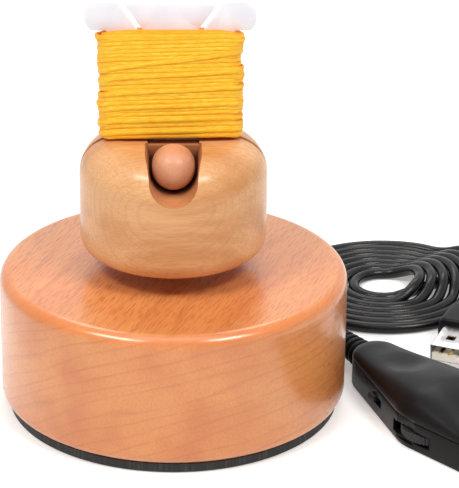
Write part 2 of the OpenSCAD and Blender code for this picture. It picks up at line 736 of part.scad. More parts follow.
// Card bobbin and its floss
module card_end() {
    half = card_w / 2;
    end_y = card_h / 2;
    difference() {
        union() {
            for (s = [-1, 1]) translate([s * (half - ear_r), end_y - ear_r]) circle(r = ear_r);
            translate([ear_r - half, end_y - card_end_h]) square([2 * (half - ear_r), card_end_h]);
            translate([-card_core_w / 2, 0]) square([card_core_w, end_y - 1]);
        }
        for (s = [-1, 1]) translate([s * card_core_w / 2 - (s < 0 ? half : 0), -1])
            square([half, end_y - card_end_h + 1]);
        translate([-tab_half_w, end_y - tab_drop]) square([2 * tab_half_w, tab_drop + 1]);
        for (s = [-1, 1]) {
            translate([s * slit_foot_x, end_y - slit_depth]) {
                circle(d = slit_w, $fn = 24);
                rotate([0, 0, s > 0 ? slit_slope : 180 - slit_slope])
                    translate([0, -slit_w / 2]) square([12, slit_w]);
            }
            polygon([
                [s * (tab_half_w - 0.5), end_y], [s * (tab_half_w - 0.3), end_y - tab_drop - 0.3],
                [s * (tab_half_w - 0.6), end_y - tab_drop - 1.2], [s * (tab_half_w + 1.6), end_y + 1]
            ]);
        }
    }
}
module bobbin_card() {
    color("#f1f1f6") translate([0, card_t / 2, card_mid]) rotate([90, 0, 0]) linear_extrude(card_t) {
        card_end();
        mirror([0, 1]) card_end();
    }
}
module floss_core() {
    low = wind_low - 0.2;
    high = strand_turns * strand_pitch + 0.4;
    in_w = wind_half_w - strand_d - 0.1;
    in_t = wind_half_t - strand_d - 0.1;
    color("#f5a623") difference() {
        translate([0, 0, low]) linear_extrude(high)
            polygon([for (i = [0:23]) [wind_x(i * 15 + 7.5, in_w), wind_y(i * 15 + 7.5, in_t)]]);
        translate([-card_core_w / 2 - 0.1, -card_t / 2 - 0.05, low - cut])
            cube([card_core_w + 0.2, card_t + 0.1, high + 2 * cut]);
    }
}
module floss_winding() {
    color("#fdbb2f") tube(wind_route, strand_r, 6, 0);
}

// Speed control, drawn along X with its front wall at -Y, then laid on the table
module at_control() {
    translate([control_at[0], control_at[1], 0]) rotate([0, 0, control_angle]) children();
}
module control_plan() {
    hull() {
        translate([control_r_narrow - control_l / 2, 0]) circle(r = control_r_narrow, $fn = 32);
        translate([hump_x, 0]) circle(r = control_r_wide, $fn = 48);
        translate([control_l / 2 - control_r_far, 0]) circle(r = control_r_far, $fn = 32);
    }
}
module control_block(x, r, h, drop) {
    translate([x, 0, 0]) turned_block(r - drop, h - drop, 0.6 * r - drop, 0.01, $fn = 40);
}
module control_form(drop) {
    hull() {
        control_block(control_r_narrow - control_l / 2, control_r_narrow, control_end_h, drop);
        control_block(hump_x, control_r_wide, control_end_h + control_rise, drop);
        control_block(control_l / 2 - control_r_far, control_r_far, control_end_h, drop);
    }
}
// The dimple is a ball sunk into the slope between the narrow end and the hump
module control_dimple(grow) {
    run = (dimple_x - control_r_narrow + control_l / 2) / (hump_x - control_r_narrow + control_l / 2);
    translate([dimple_x, 0, control_end_h + control_rise * run - dimple_depth + dimple_r])
        sphere(r = dimple_r + grow);
}
module control_bosses(d, from, to) {
    for (x = boss_x) translate([x, 0, from]) cylinder(h = to - from, d = d);
}
module control_cord_holes() {
    for (s = [-1, 1]) translate([s * (control_l / 2 - 5), 0, control_cord_z]) rotate([0, s * 90, 0])
        cylinder(h = 8, d = 5.2);
}
module finger_scoop() {
    translate([thumb_at[0], -control_r_wide - scoop_r + 0.9, 1.4])
        cylinder(h = scoop_top - 1.4, r = scoop_r, $fn = 96);
}
module control_lower_shell() {
    color("#28282b") at_control() difference() {
        union() {
            difference() {
                linear_extrude(control_low_h) control_plan();
                translate([0, 0, control_wall]) linear_extrude(control_low_h)
                    offset(delta = -control_wall) control_plan();
            }
            control_bosses(boss_d, control_wall - 0.2, board_low);
        }
        control_cord_holes();
        finger_scoop();
        translate([thumb_at[0] - 6.3, -control_r_wide - 2, thumb_z - 0.4])
            cube([12.6, 5.6, thumb_t + 0.8]);
        translate([switch_x - 1.5 - switch_travel / 2, -control_r_wide - 1, switch_z - 0.1])
            cube([switch_travel + 3, 7, 2]);
        for (x = boss_x) translate([x, 0, 0]) {
            cylinder(h = control_low_h, d = case_screw_d + 2 * fit);
            translate([0, 0, -cut]) cylinder(h = cut + 1.2, d = wood_screw_head_d + 0.2);
        }
    }
}
module control_upper_shell() {
    color("#28282b") at_control() difference() {
        intersection() {
            translate([-control_l, -control_l, control_low_h]) cube(2 * control_l);
            control_form(0);
        }
        difference() {
            control_form(control_wall);
            control_dimple(control_wall);
            difference() {
                control_bosses(boss_d, board_low + control_board_t + 0.02, 2 * control_end_h);
                for (x = boss_x) translate([x, 0, 0])
                    cylinder(h = board_low + control_board_t + 0.7, d = case_screw_d + 2 * fit);
            }
        }
        control_cord_holes();
        control_dimple(0);
        finger_scoop();
    }
}
module control_board() {
    color("#2f6b45") at_control() difference() {
        translate([-board_l / 2, -4.2, board_low]) cube([board_l, 8.4, control_board_t]);
        for (x = boss_x) translate([x, 0, board_low - cut])
            cylinder(h = control_board_t + 2 * cut, d = case_screw_d + 2 * fit);
    }
}
module at_thumb() {
    at_control() translate([thumb_at[0], thumb_at[1], 0]) children();
}
module speed_pot() {
    color("#3b6fb0") at_thumb() {
        translate([0, 0, pot_low]) cylinder(h = board_low - pot_low, r = 4.2);
        translate([0, 0, control_wall]) cylinder(h = pot_low - control_wall, d = 2.4);
    }
}
module speed_wheel() {
    ribs = 48;
    color("#1f1f21") at_thumb() difference() {
        translate([0, 0, thumb_z]) linear_extrude(thumb_t)
            polygon([for (k = [0:ribs - 1]) each [
                (thumb_r - 0.25) * [cos(360 * (k - 0.25) / ribs), sin(360 * (k - 0.25) / ribs)],
                thumb_r * [cos(360 * k / ribs), sin(360 * k / ribs)],
                thumb_r * [cos(360 * (k + 0.25) / ribs), sin(360 * (k + 0.25) / ribs)],
                (thumb_r - 0.25) * [cos(360 * (k + 0.5) / ribs), sin(360 * (k + 0.5) / ribs)]
            ]]);
        translate([0, 0, thumb_z - cut]) cylinder(h = thumb_t + 2 * cut, d = 2.4 + 2 * running_clear);
    }
}
module switch_body() {
    color("#b9bdc0") at_control() difference() {
        translate([switch_x - 4, switch_wall_y + control_wall + 1.25, switch_z - 0.6])
            cube([8, 3.7, board_low - switch_z + 0.6]);
        translate([switch_x - 0.75 - switch_travel / 2, -control_r_wide, switch_z + 0.2])
            cube([switch_travel + 1.5, 5 + switch_wall_y + control_r_wide, 1.4]);
    }
}
module switch_knob() {
    color("#1f1f21") at_control() translate([switch_x - switch_travel / 2, 0, switch_z]) {
        translate([-1.3, switch_wall_y - 0.4, 0.1])
            cube([2.6, control_wall + 0.7, 1.6]);
        translate([-0.6, switch_wall_y + control_wall + 0.2, 0.3]) cube([1.2, 2.2, 1.2]);
    }
}
module control_screws() {
    color("#8f9396") at_control() for (x = boss_x) translate([x, 0, 0])
        screw(wood_screw_head_d, 1.2, case_screw_d, board_low + control_board_t + 0.5, false);
}
// A ribbed strain relief that points along +X from the case wall
module ribbed_relief(l, r_wall, r_end, ribs) {
    rotate([0, 90, 0]) {
        cylinder(h = l, r1 = r_wall - 0.5, r2 = r_end);
        for (k = [0:ribs - 1]) translate([0, 0, (k + 0.35) * l / (ribs + 0.3)])
            cylinder(h = 0.5 * l / ribs, r = r_wall + (r_end + 0.3 - r_wall) * k / ribs);
    }
}
module control_relief() {
    translate([control_l / 2 + 0.02, 0, control_cord_z]) {
        ribbed_relief(relief_l - 0.02, 3.4, 2.2, 5);
        rotate([0, -90, 0]) cylinder(h = control_wall + 2, d = 5.1);
        translate([-control_wall - 1.7, 0, 0]) rotate([0, -90, 0]) cylinder(h = 1, d = 6);
    }
}
module control_relief_in() {
    color("#232325") at_control() mirror([1, 0, 0]) control_relief();
}
module control_relief_out() {
    color("#232325") at_control() control_relief();
}
module control_leads() {
    start = control_l / 2 - control_wall - 2.7;
    color("#b3221c") at_control() for (s = [-1, 1]) for (y = [-0.9, 0.9]) tube([
        [s * start, y, control_cord_z + 0.3], [s * (start - 0.7), y, control_cord_z + 0.3],
        [s * (start - 1.6), 1.3 * y, board_low - 0.8], [s * (start - 2.6), 1.5 * y, board_low - 0.56]
    ], 0.5, 6, 30);
}

// Plug, drawn along X from the end of the lead, with its middle at the lead's middle
module at_plug() {
    translate(plug_at) rotate([0, 0, plug_angle]) children();
}
module plug_shell_block(back, end, grow) {
    translate([back, -plug_shell_w / 2 - grow, -plug_shell_t / 2 - grow])
        cube([end - back, plug_shell_w + 2 * grow, plug_shell_t + 2 * grow]);
}
module plug_grip() {
    shoulder = plug_relief_l + 2.6;
    end = plug_relief_l + grip_l;
    half = grip_w / 2;
    round_r = 2.2;
    color("#28282b") at_plug() {
        ribbed_relief(plug_relief_l, 3.3, 2.2, 4);
        difference() {
            intersection() {
                translate([0, 0, -grip_t / 2]) linear_extrude(grip_t) polygon(concat(
                    [[plug_relief_l, -3.6], [plug_relief_l + 0.8, -half + 2.8], [shoulder, -half + 0.5]],
                    [[shoulder + 1.2, -half], [end - 1, -half], [end, -half + 1]],
                    [[end, half - 1], [end - 1, half], [shoulder + 1.2, half]],
                    [[shoulder, half - 0.5], [plug_relief_l + 0.8, half - 2.8], [plug_relief_l, 3.6]]
                ));
                rotate([90, 0, 90]) linear_extrude(2 * end) polygon(concat(
                    arc([-half + round_r, -grip_t / 2 + round_r], round_r, 180, 270, 5),
                    arc([half - round_r, -grip_t / 2 + round_r], round_r, 270, 360, 5),
                    arc([half - round_r, grip_t / 2 - round_r], round_r, 0, 90, 5),
                    arc([-half + round_r, grip_t / 2 - round_r], round_r, 90, 180, 5)
                ));
            }
            plug_shell_block(plug_shell_back - 0.2, plug_shell_end, fit);
        }
    }
}
module plug_shell() {
    color("#c9ccd0") at_plug() difference() {
        plug_shell_block(plug_shell_back, plug_shell_end, 0);
        plug_shell_block(plug_shell_back + 0.8, plug_shell_end + cut, -plug_shell_wall);
        for (s = [-1, 1])
            translate([plug_relief_l + grip_l + 5.2, s * 2.25 - 1.1, -plug_shell_t])
                cube([2.4, 2.2, 2 * plug_shell_t]);
    }
}
module plug_tongue() {
    back = plug_shell_back + 0.82;
    color("#e9e9ea") at_plug() difference() {
        translate([back, plug_shell_wall + 0.1 - plug_shell_w / 2, plug_shell_wall + 0.02 - plug_shell_t / 2])
            cube([plug_shell_end - 0.5 - back, plug_shell_w - 2 * plug_shell_wall - 0.2, 1.9]);
        for (k = [-1.5:1.5]) translate([back + 2.2, k * contact_step - 0.5, -0.28])
            cube([plug_shell_end, 1, 1]);
    }
}
module plug_contacts() {
    back = plug_shell_back + 3.9;
    color("#d9b45a") at_plug() for (k = [-1.5:1.5])
        translate([back, k * contact_step - 0.45, -0.27]) cube([plug_shell_end - 1.2 - back, 0.9, 0.25]);
}

// Lead
module cord_to_control() {
    color("#232325") tube(route_to_control, cord_r, 8, 22.5);
}
module cord_to_coil() {
    color("#232325") tube(route_to_coil, cord_r, 8, 22.5);
}
module cord_coil() {
    color("#232325") tube(coil_route, cord_r, 6, 30);
}

foot_pad();
bottom_board();
board_screws();
base_body();
top_bush();
gearbox_top_plate();
gearbox_motor_plate();
plate_posts();
plate_screws();
idler_axle();
idler_gear();
output_gear();
output_shaft();
motor_can();
motor_magnets();
motor_end_cap();
motor_terminals();
motor_screws();
motor_shaft();
motor_armature();
motor_pinion();
cord_grommet();
cord_tie();
inner_cord();
inner_leads();
hub_flange();
hub_screws();
grub_screw();
head_block();
clamp_peg();
bobbin_card();
floss_core();
floss_winding();
control_lower_shell();
control_upper_shell();
control_board();
speed_pot();
speed_wheel();
switch_body();
switch_knob();
control_screws();
control_relief_in();
control_relief_out();
control_leads();
plug_grip();
plug_shell();
plug_tongue();
plug_contacts();
cord_to_control();
cord_to_coil();
cord_coil();
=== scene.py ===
# %% [markdown]
# # An electric winder for embroidery floss
# A card bobbin stands on edge in a domed wooden head. A small motor in the wooden base turns the
# head, and floss winds on to the card. A USB lead with a speed control feeds the motor.
# The engineering model comes in first. It fixes every size and joint, and the pieces made here
# are dressed over it, in metres and in its own coordinates.

# %% Load the engineering model
import math
import random

import bmesh
import bpy
from mathutils import Matrix, Vector


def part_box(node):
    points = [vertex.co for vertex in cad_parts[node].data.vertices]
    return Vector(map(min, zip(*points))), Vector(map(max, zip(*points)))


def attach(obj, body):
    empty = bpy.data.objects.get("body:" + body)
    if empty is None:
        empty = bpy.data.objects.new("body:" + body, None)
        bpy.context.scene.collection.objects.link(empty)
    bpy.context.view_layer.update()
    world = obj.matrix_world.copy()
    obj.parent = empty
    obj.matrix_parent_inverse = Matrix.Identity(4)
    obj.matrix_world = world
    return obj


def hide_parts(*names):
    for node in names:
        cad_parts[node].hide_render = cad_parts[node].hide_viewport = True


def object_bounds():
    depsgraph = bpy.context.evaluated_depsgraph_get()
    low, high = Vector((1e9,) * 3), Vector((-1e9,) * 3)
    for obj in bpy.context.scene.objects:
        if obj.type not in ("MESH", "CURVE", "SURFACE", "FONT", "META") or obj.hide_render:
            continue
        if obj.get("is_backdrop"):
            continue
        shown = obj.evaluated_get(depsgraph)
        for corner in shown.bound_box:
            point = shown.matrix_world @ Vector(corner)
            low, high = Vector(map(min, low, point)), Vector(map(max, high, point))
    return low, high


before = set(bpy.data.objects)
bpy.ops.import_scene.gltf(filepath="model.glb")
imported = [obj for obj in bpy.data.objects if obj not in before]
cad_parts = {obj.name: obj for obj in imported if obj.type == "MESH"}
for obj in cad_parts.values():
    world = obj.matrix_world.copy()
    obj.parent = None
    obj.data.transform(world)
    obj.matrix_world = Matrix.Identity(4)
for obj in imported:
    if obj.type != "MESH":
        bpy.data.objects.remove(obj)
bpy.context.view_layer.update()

mm = 0.001

# %% [markdown]
# Sizes that many steps share are read from the model, so that a new size there carries over here.
# A few that its boxes don't show, such as the radius of an edge, are written as real sizes.

# %% Sizes that the pieces share
base_low, base_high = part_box("base_body")
head_low, head_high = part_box("head_block")
pad_low, pad_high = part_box("foot_pad")
card_low, card_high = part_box("bobbin_card")
winding_low, winding_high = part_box("floss_winding")
base_r, head_r = base_high.x, head_high.x
base_bottom, base_top = base_low.z, base_high.z
head_bottom, head_top = head_low.z, head_high.z
print(f"base {2 * base_r / mm:.1f} mm across, head {2 * head_r / mm:.1f} mm across")

# %% [markdown]
# ## Camera
# The photograph was taken from a little above, with a long lens, and the base fills its left side.
# The camera's distance, height and focal length come from a fit to the outlines of the base, the
# head and the card. The object stands left of the middle, so the lens is shifted a little.

# %% Camera at the photograph's angle
photo_w, photo_h = 459, 488
focal_px = 2446.7
axis_px, target_px = 173.4, 238.2
camera_up = math.radians(23.33)
camera_far = 560 * mm
camera_target = Vector((0, 0, 40 * mm))
camera = bpy.data.objects.new("camera", bpy.data.cameras.new("camera"))
bpy.context.collection.objects.link(camera)
camera.location = camera_target + camera_far * Vector((0, -math.cos(camera_up), math.sin(camera_up)))
camera.rotation_euler = (math.pi / 2 - camera_up, 0, 0)
camera.data.sensor_width = 36
camera.data.lens = focal_px * camera.data.sensor_width / photo_h
camera.data.shift_x = (photo_w / 2 - axis_px) / photo_h
camera.data.shift_y = (target_px - photo_h / 2) / photo_h
camera.data.clip_start, camera.data.clip_end = 0.01, 20
bpy.context.scene.camera = camera
print(f"lens {camera.data.lens:.1f} mm, {camera_far / mm:.0f} mm from the object")

# %% [markdown]
# ## Helpers for materials
# Every material is a small network of shader nodes. One function adds a node with its settings and
# links, and sets a texture's spots to their real size. Colours are written as a picture editor shows
# them, and one function turns them to the linear values that the renderer wants. Many real surfaces
# have one fine grain that shows both as a change of tone and as a slight relief, so one function
# makes such a material whole.

# %% Colours and shader nodes
def linear(hex_colour, alpha=1.0):
    """Linear red, green, blue and alpha of a hex colour."""
    parts = [int(hex_colour[i:i + 2], 16) / 255 for i in (1, 3, 5)]
    return (*[p / 12.92 if p <= 0.04045 else ((p + 0.055) / 1.055) ** 2.4 for p in parts], alpha)


def feed(node, socket, source):
    """Links a node's first output, or the given one of its sockets, into a socket of another node."""
    if isinstance(source, bpy.types.Node):
        source = next(output for output in source.outputs if output.enabled)
    node.id_data.links.new(source, node.inputs[socket])


def add(tree, kind, sockets=(), stops=(), spot_mm=None, place=None, **settings):
    """Adds a shader node. Its settings are properties. Its sockets take values or incoming links, as a
    list from the top or by name or number, and stops are a colour ramp's (place, hex colour) pairs.
    spot_mm is the real size of a texture's spots along X, Y and Z of the object, or of another place
    that is given in mm."""
    sockets = dict(enumerate(sockets) if isinstance(sockets, list) else sockets)
    if spot_mm and not place:
        place, spot_mm = add(tree, "TexCoord").outputs["Object"], [s * mm for s in spot_mm]
    if spot_mm:
        sockets["Vector"] = add(tree, "VectorMath", [place, spot_mm], operation="DIVIDE")
        sockets["Scale"] = 1.0
    made = tree.nodes.new("ShaderNode" + kind)
    for name, value in settings.items():
        setattr(made, name, value)
    for k, (at, hex_colour) in enumerate(stops):
        element = made.color_ramp.elements[k] if k < 2 else made.color_ramp.elements.new(at)
        element.position, element.color = at, linear(hex_colour)
    for name, value in sockets.items():
        if isinstance(value, (bpy.types.Node, bpy.types.NodeSocket)):
            feed(made, name, value)
        else:
            made.inputs[name].default_value = value
    return made


print("middle grey #808080 is", round(linear("#808080")[0], 3), "in linear light")

# %% Whole materials
def new_material(name, **shader_values):
    """Makes a material with one Principled shader and returns it with its tree and shader."""
    made = bpy.data.materials.new(name)
    made.use_nodes = True
    tree = made.node_tree
    shader = tree.nodes["Principled BSDF"]
    for socket, value in shader_values.items():
        shader.inputs[socket.replace("_", " ")].default_value = value
    return made, tree, shader


def grained(name, spot_mm, tones, relief, depth_mm, detail=3.0, **shader_values):
    """A material with one grain of the given size along X, Y and Z. It shows in the tone, through a
    colour ramp of (place, hex colour) pairs, and as a relief of the given strength and depth."""
    made, tree, shader = new_material(name, **shader_values)
    grain = add(tree, "TexNoise", {"Detail": detail}, spot_mm=spot_mm)
    feed(shader, "Base Color", add(tree, "ValToRGB", [grain], stops=tones))
    bump = add(tree, "Bump", {"Height": grain, "Strength": relief, "Distance": depth_mm * mm})
    feed(shader, "Normal", bump)
    return made, tree, shader, grain


def cover(material, share, hex_colour):
    """Mixes a colour over a material's own, by a share from 0 to 1 that another node gives."""
    tree = material.node_tree
    shader = tree.nodes["Principled BSDF"]
    under = shader.inputs["Base Color"].links[0].from_socket
    both = add(tree, "Mix", {0: share, 6: under, 7: linear(hex_colour)}, data_type="RGBA")
    feed(shader, "Base Color", both)


def report(*materials):
    """Prints how many nodes each material took."""
    for made in materials:
        print(made.name, "has", len(made.node_tree.nodes), "nodes")


print("material helpers: new_material, grained, cover, report")

# %% [markdown]
# ## Light and floor
# The photograph is a product shot on white: soft light from both sides and above, a white table and
# a faint shadow. Large area lamps give the soft light, and a plain world fills the shadows. The
# floor and the world are white for the camera through their Light Path nodes, and not because more
# light falls on the object.

# %% World, lamps and floor
scene = bpy.context.scene
scene.view_settings.view_transform = "Standard"


def seen_rays(tree):
    """1 for rays that come from the camera, a mirror or glass, and 0 for the light on surfaces."""
    path = add(tree, "LightPath")
    some = add(tree, "Math", [path.outputs["Is Camera Ray"], path.outputs["Is Glossy Ray"]],
               operation="MAXIMUM")
    return add(tree, "Math", [some, path.outputs["Is Transmission Ray"]], operation="MAXIMUM")


world = bpy.data.worlds.new("white studio")
world.use_nodes = True
scene.world = world
sky = world.node_tree
sky.nodes.clear()
fill = add(sky, "Background", {"Color": linear("#F4F7FB"), "Strength": 0.22})
seen = add(sky, "Background", {"Color": linear("#FFFFFF"), "Strength": 1.0})
both = add(sky, "MixShader", [seen_rays(sky), fill, seen])
add(sky, "OutputWorld", {"Surface": both})


def lamp(name, place, aim, size, watts, colour="#FFFFFF"):
    """A rectangular area lamp at a place in metres that shines at an aim."""
    made = bpy.data.objects.new(name, bpy.data.lights.new(name, "AREA"))
    made.data.shape = "RECTANGLE"
    made.data.size, made.data.size_y = size
    made.data.energy = watts
    made.data.color = linear(colour)[:3]
    made.location = place
    made.rotation_euler = (Vector(aim) - Vector(place)).to_track_quat("-Z", "Y").to_euler()
    bpy.context.collection.objects.link(made)


lamp("left softbox", (-0.44, -0.38, 0.84), (0, 0, 0.04), (0.42, 0.2), 5.2, "#FFF9F2")
lamp("right softbox", (0.42, -0.4, 0.8), (0, 0, 0.04), (0.3, 0.2), 4.4, "#FFF9F2")
lamp("top softbox", (0, -0.12, 0.9), (0, 0, 0.05), (0.5, 0.4), 1.3)
lamp("back softbox", (0.0, 0.55, 0.75), (0, 0, 0.03), (0.5, 0.3), 1.9)

floor_mesh = bpy.data.meshes.new("floor")
floor_half = 4
floor_mesh.from_pydata([(x * floor_half, y * floor_half, 0) for x, y in ((-1, -1), (1, -1), (1, 1), (-1, 1))],
                       [], [(0, 1, 2, 3)])
floor = bpy.data.objects.new("floor", floor_mesh)
bpy.context.collection.objects.link(floor)
floor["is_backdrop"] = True
paper, tree, shader = new_material("white studio paper", Base_Color=linear("#F2F2F2"), Roughness=0.9,
                                   Specular_IOR_Level=0.0)
lift = add(tree, "Emission", {"Color": linear("#FFFFFF"), "Strength": 0.32})
brighter = add(tree, "AddShader", [shader, lift])
shown = add(tree, "MixShader", [seen_rays(tree), shader, brighter])
feed(tree.nodes["Material Output"], "Surface", shown)
floor.data.materials.append(paper)
print("lamps and floor in place")

# %% [markdown]
# ## Helpers for meshes
# Turned wood is a profile swung round an axis, a moulded case is a stack of outlines, and a cord is
# a ring carried along a line. All three are rows of points with faces between the rows, so one
# function builds them all.

# %% Rows of points to a mesh
def mesh_object(name, points, faces, material):
    """A smooth-shaded object from points in metres and faces of point numbers."""
    mesh = bpy.data.meshes.new(name)
    mesh.from_pydata([tuple(p) for p in points], [], faces)
    mesh.validate()
    mesh.polygons.foreach_set("use_smooth", [True] * len(mesh.polygons))
    if material:
        mesh.materials.append(material)
    made = bpy.data.objects.new(name, mesh)
    bpy.context.collection.objects.link(made)
    return made


def loft(name, rows, material, capped=True, sharp=None):
    """Joins rings of points, each of the same count, with four-sided faces."""
    count = len(rows[0])
    points = [p for row in rows for p in row]
    faces = []
    for i in range(len(rows) - 1):
        for k in range(count):
            a, b = i * count + k, i * count + (k + 1) % count
            faces.append((a, b, b + count, a + count))
    if capped:
        faces.append(tuple(reversed(range(count))))
        faces.append(tuple((len(rows) - 1) * count + k for k in range(count)))
    made = mesh_object(name, points, faces, material)
    if sharp:
        soften(made, sharp)
    return made


print("mesh helpers: mesh_object, loft")

# %% Creases, lathe, welding and arcs
def soften(piece, degrees):
    """Smooth shading, but with a crease at edges sharper than the given angle."""
    edges = bmesh.new()
    edges.from_mesh(piece.data)
    for edge in edges.edges:
        edge.smooth = len(edge.link_faces) == 2 and edge.calc_face_angle(0) < math.radians(degrees)
    edges.to_mesh(piece.data)
    edges.free()


def turned(name, profile, material, steps=160, sharp=35):
    """Swings a profile of (radius, height) points in mm round Z, as a lathe does."""
    rows = [[(r * mm * math.cos(math.tau * k / steps), r * mm * math.sin(math.tau * k / steps), z * mm)
             for k in range(steps)] for r, z in profile]
    made = loft(name, rows, material, capped=False, sharp=sharp)
    weld(made)
    return made


def weld(piece, gap=0.002 * mm):
    """Joins points that lie on each other, as at the axis of a turned piece, and mends the normals."""
    cleaned = bmesh.new()
    cleaned.from_mesh(piece.data)
    bmesh.ops.remove_doubles(cleaned, verts=cleaned.verts, dist=gap)
    bmesh.ops.recalc_face_normals(cleaned, faces=cleaned.faces)
    cleaned.to_mesh(piece.data)
    cleaned.free()


def arc(centre, radius, start, end, steps):
    """Points on a circle round a centre, from one angle to another in degrees."""
    return [(centre[0] + radius * math.cos(math.radians(start + (end - start) * i / steps)),
             centre[1] + radius * math.sin(math.radians(start + (end - start) * i / steps)))
            for i in range(steps + 1)]


print("quarter circle:", [tuple(round(v, 2) for v in point) for point in arc((0, 0), 1, 0, 90, 3)])

# %% [markdown]
# ## The USB lead
# The lead is a round, limp, black cord 2.8 mm thick. It leaves the back of the base, comes round to
# the speed control, goes on along the right and ends in a flat coil with its plug. It lies on the
# table all the way. Its route has the same points as the engineering model, and Blender's Bezier
# curve with automatic handles runs smoothly through them. A point written without a height lies on
# the table.
# The coil is a spiral that starts over its own incoming end, so each turn rises in a low hump where
# it crosses that end.

# %% Route from the base to the speed control
cord_r = 1.4
control_at, control_dir = Vector((59, -15, 0)), Vector((8, -15, 0)) / 17
control_cord_z = 5
control_half = 28.8
relief_l = 12


def control_point(along, across=0, up=control_cord_z):
    """A point on the speed control in mm: along its length, across it and up from the table."""
    side = Vector((-control_dir.y, control_dir.x, 0))
    return control_at + along * control_dir + across * side + Vector((0, 0, up))


def route(*places):
    """Points of a route in mm. A place with two numbers lies on the table."""
    return [Vector(place if len(place) == 3 else (*place, cord_r)) for place in places]


route_to_control = route(
    (0, 50, 9.9), (0, 53, 9.9), (0.4, 57.5, 8.4), (2.5, 61.5, 5.8), (6, 64.2, 3.7), (10.5, 65, 2.3),
    (14.8, 63, 1.6), (17.6, 59), (18.6, 54), (20.4, 49), (23.6, 44.6), (27.4, 40.6), (31, 36.4, 1.6),
    (34.2, 31.8, 2.5), (36.7, 27.2, 4.1))
relief_end = control_half + relief_l
jacket_end = 24.7
in_control = [relief_end + 3, relief_end, 36, 30, jacket_end]
route_to_control += [control_point(-x) for x in in_control]
print(len(route_to_control), "points from the base to the control")

# %% Route of the coil
coil_at, coil_r, coil_pitch = Vector((54, 58, 0)), 6.5, 3
coil_steps, steps_a_turn, coil_end_angle = 166, 24, -math.atan2(5, 12)
coil_step = math.tau / steps_a_turn
feed_l, hump_h, hump_flat, hump_flank = 30, 3.55, 2.5, 12
swing_out, swing_steps, rise_steps = 2.5, 9, 3
plug_z = 4


def ease(t):
    """A soft step: 0 up to t = 0, then smoothly to 1 at t = 1."""
    return 0 if t <= 0 else 1 if t >= 1 else (1 - math.cos(math.pi * t)) / 2


def coil_point(i):
    """Point i of the spiral, with its hump over the incoming end of the lead. The last steps swing
    out and rise to the plug."""
    swing = swing_out * ease((i - coil_steps + swing_steps) / swing_steps)
    r = coil_r + coil_pitch * i / steps_a_turn + swing
    over = math.acos(min(1, coil_r / r))
    crossing = max(1, round((i * coil_step + over) / math.tau))
    away = r * abs(math.tau * crossing - i * coil_step - over)
    lift = hump_h * (1 - ease((away - hump_flat) / hump_flank))
    rise = (plug_z - cord_r) * ease((i - coil_steps + rise_steps) / rise_steps)
    angle = coil_end_angle + (coil_steps - i) * coil_step
    return coil_at + Vector((r * math.cos(angle), r * math.sin(angle), cord_r + lift + rise))


start_angle = coil_end_angle + coil_steps * coil_step
feed_dir = Vector((-math.sin(start_angle), math.cos(start_angle), 0))
tail_dir = Vector((math.sin(coil_end_angle), -math.cos(coil_end_angle), 0))
coil_start = coil_at + coil_r * Vector((math.cos(start_angle), math.sin(start_angle), 0))
coil_start.z = cord_r
plug_at = coil_point(coil_steps) + 3 * tail_dir
route_of_coil = [coil_start + feed_l * k / 6 * feed_dir for k in range(6, 0, -1)]
route_of_coil += [coil_point(i) for i in range(coil_steps + 1)] + [plug_at]
print(f"{coil_steps / steps_a_turn:.1f} turns, plug at {tuple(round(v, 1) for v in plug_at)} mm")

# %% Route from the control round to the coil
route_to_coil = [control_point(x) for x in reversed(in_control)]
route_to_coil += route(
    (82.2, -57.6, 3.7), (86, -60.6, 2.3), (90.6, -61.4, 1.6), (95, -59.6), (98, -55.8), (99.2, -51),
    (99, -45), (98, -39), (96.9, -32), (96, -25), (95.4, -18), (95.2, -11), (95.3, -4), (95.7, 3),
    (96.2, 10), (96.8, 17), (97.3, 24), (97.7, 31), (98, 38), (98.2, 45), (98.4, 52), (98.6, 59),
    (98.6, 65), (97.2, 70.2), (93.8, 73.7), (89.2, 74.8))
route_to_coil += [coil_start + (feed_l + 3) * feed_dir]
print(len(route_to_coil), "points from the control to the coil")

# %% [markdown]
# The cord's jacket is soft PVC with a smooth, slightly glossy skin straight from the extruder. A very
# fine bump along the cord breaks up its highlight, as the real skin does.

# %% Jacket material and the two stretches of the lead
jacket = grained("glossy PVC cord jacket", (1.1, 1.1, 1.1), ((0.3, "#0D0D0F"), (0.7, "#141416")), 0.12, 0.05,
                 Roughness=0.26, IOR=1.53, Specular_IOR_Level=0.24)[0]


def lead(name, places):
    """A cord along a route, as a Bezier curve with a round section."""
    line = bpy.data.curves.new(name, "CURVE")
    line.dimensions = "3D"
    line.resolution_u, line.bevel_resolution = 5, 5
    line.bevel_depth, line.use_fill_caps = cord_r * mm, True
    spline = line.splines.new("BEZIER")
    spline.bezier_points.add(len(places) - 1)
    for point, place in zip(spline.bezier_points, places):
        point.co = place * mm
        point.handle_left_type = point.handle_right_type = "AUTO"
    line.materials.append(jacket)
    made = bpy.data.objects.new(name, line)
    bpy.context.collection.objects.link(made)
    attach(made, "base")
    return made


lead_to_control = lead("lead_to_control", route_to_control)
lead_to_coil = lead("lead_to_coil", route_to_coil + route_of_coil)
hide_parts("cord_to_control")
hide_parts("cord_to_coil", "cord_coil")

# %% [markdown]
# ## Wood
# Beech and maple are both pale, even woods. What the eye reads as wood is the growth rings, the
# short dark dashes of the rays, the fine fibres and slow patches of redder wood. All of these have
# a direction in the log, so the material first turns a place on the piece into a place in the log:
# along the fibres, across them, and outward through the rings. The same pattern then gives long
# lines on one side of the piece and end grain on another, as in real wood.

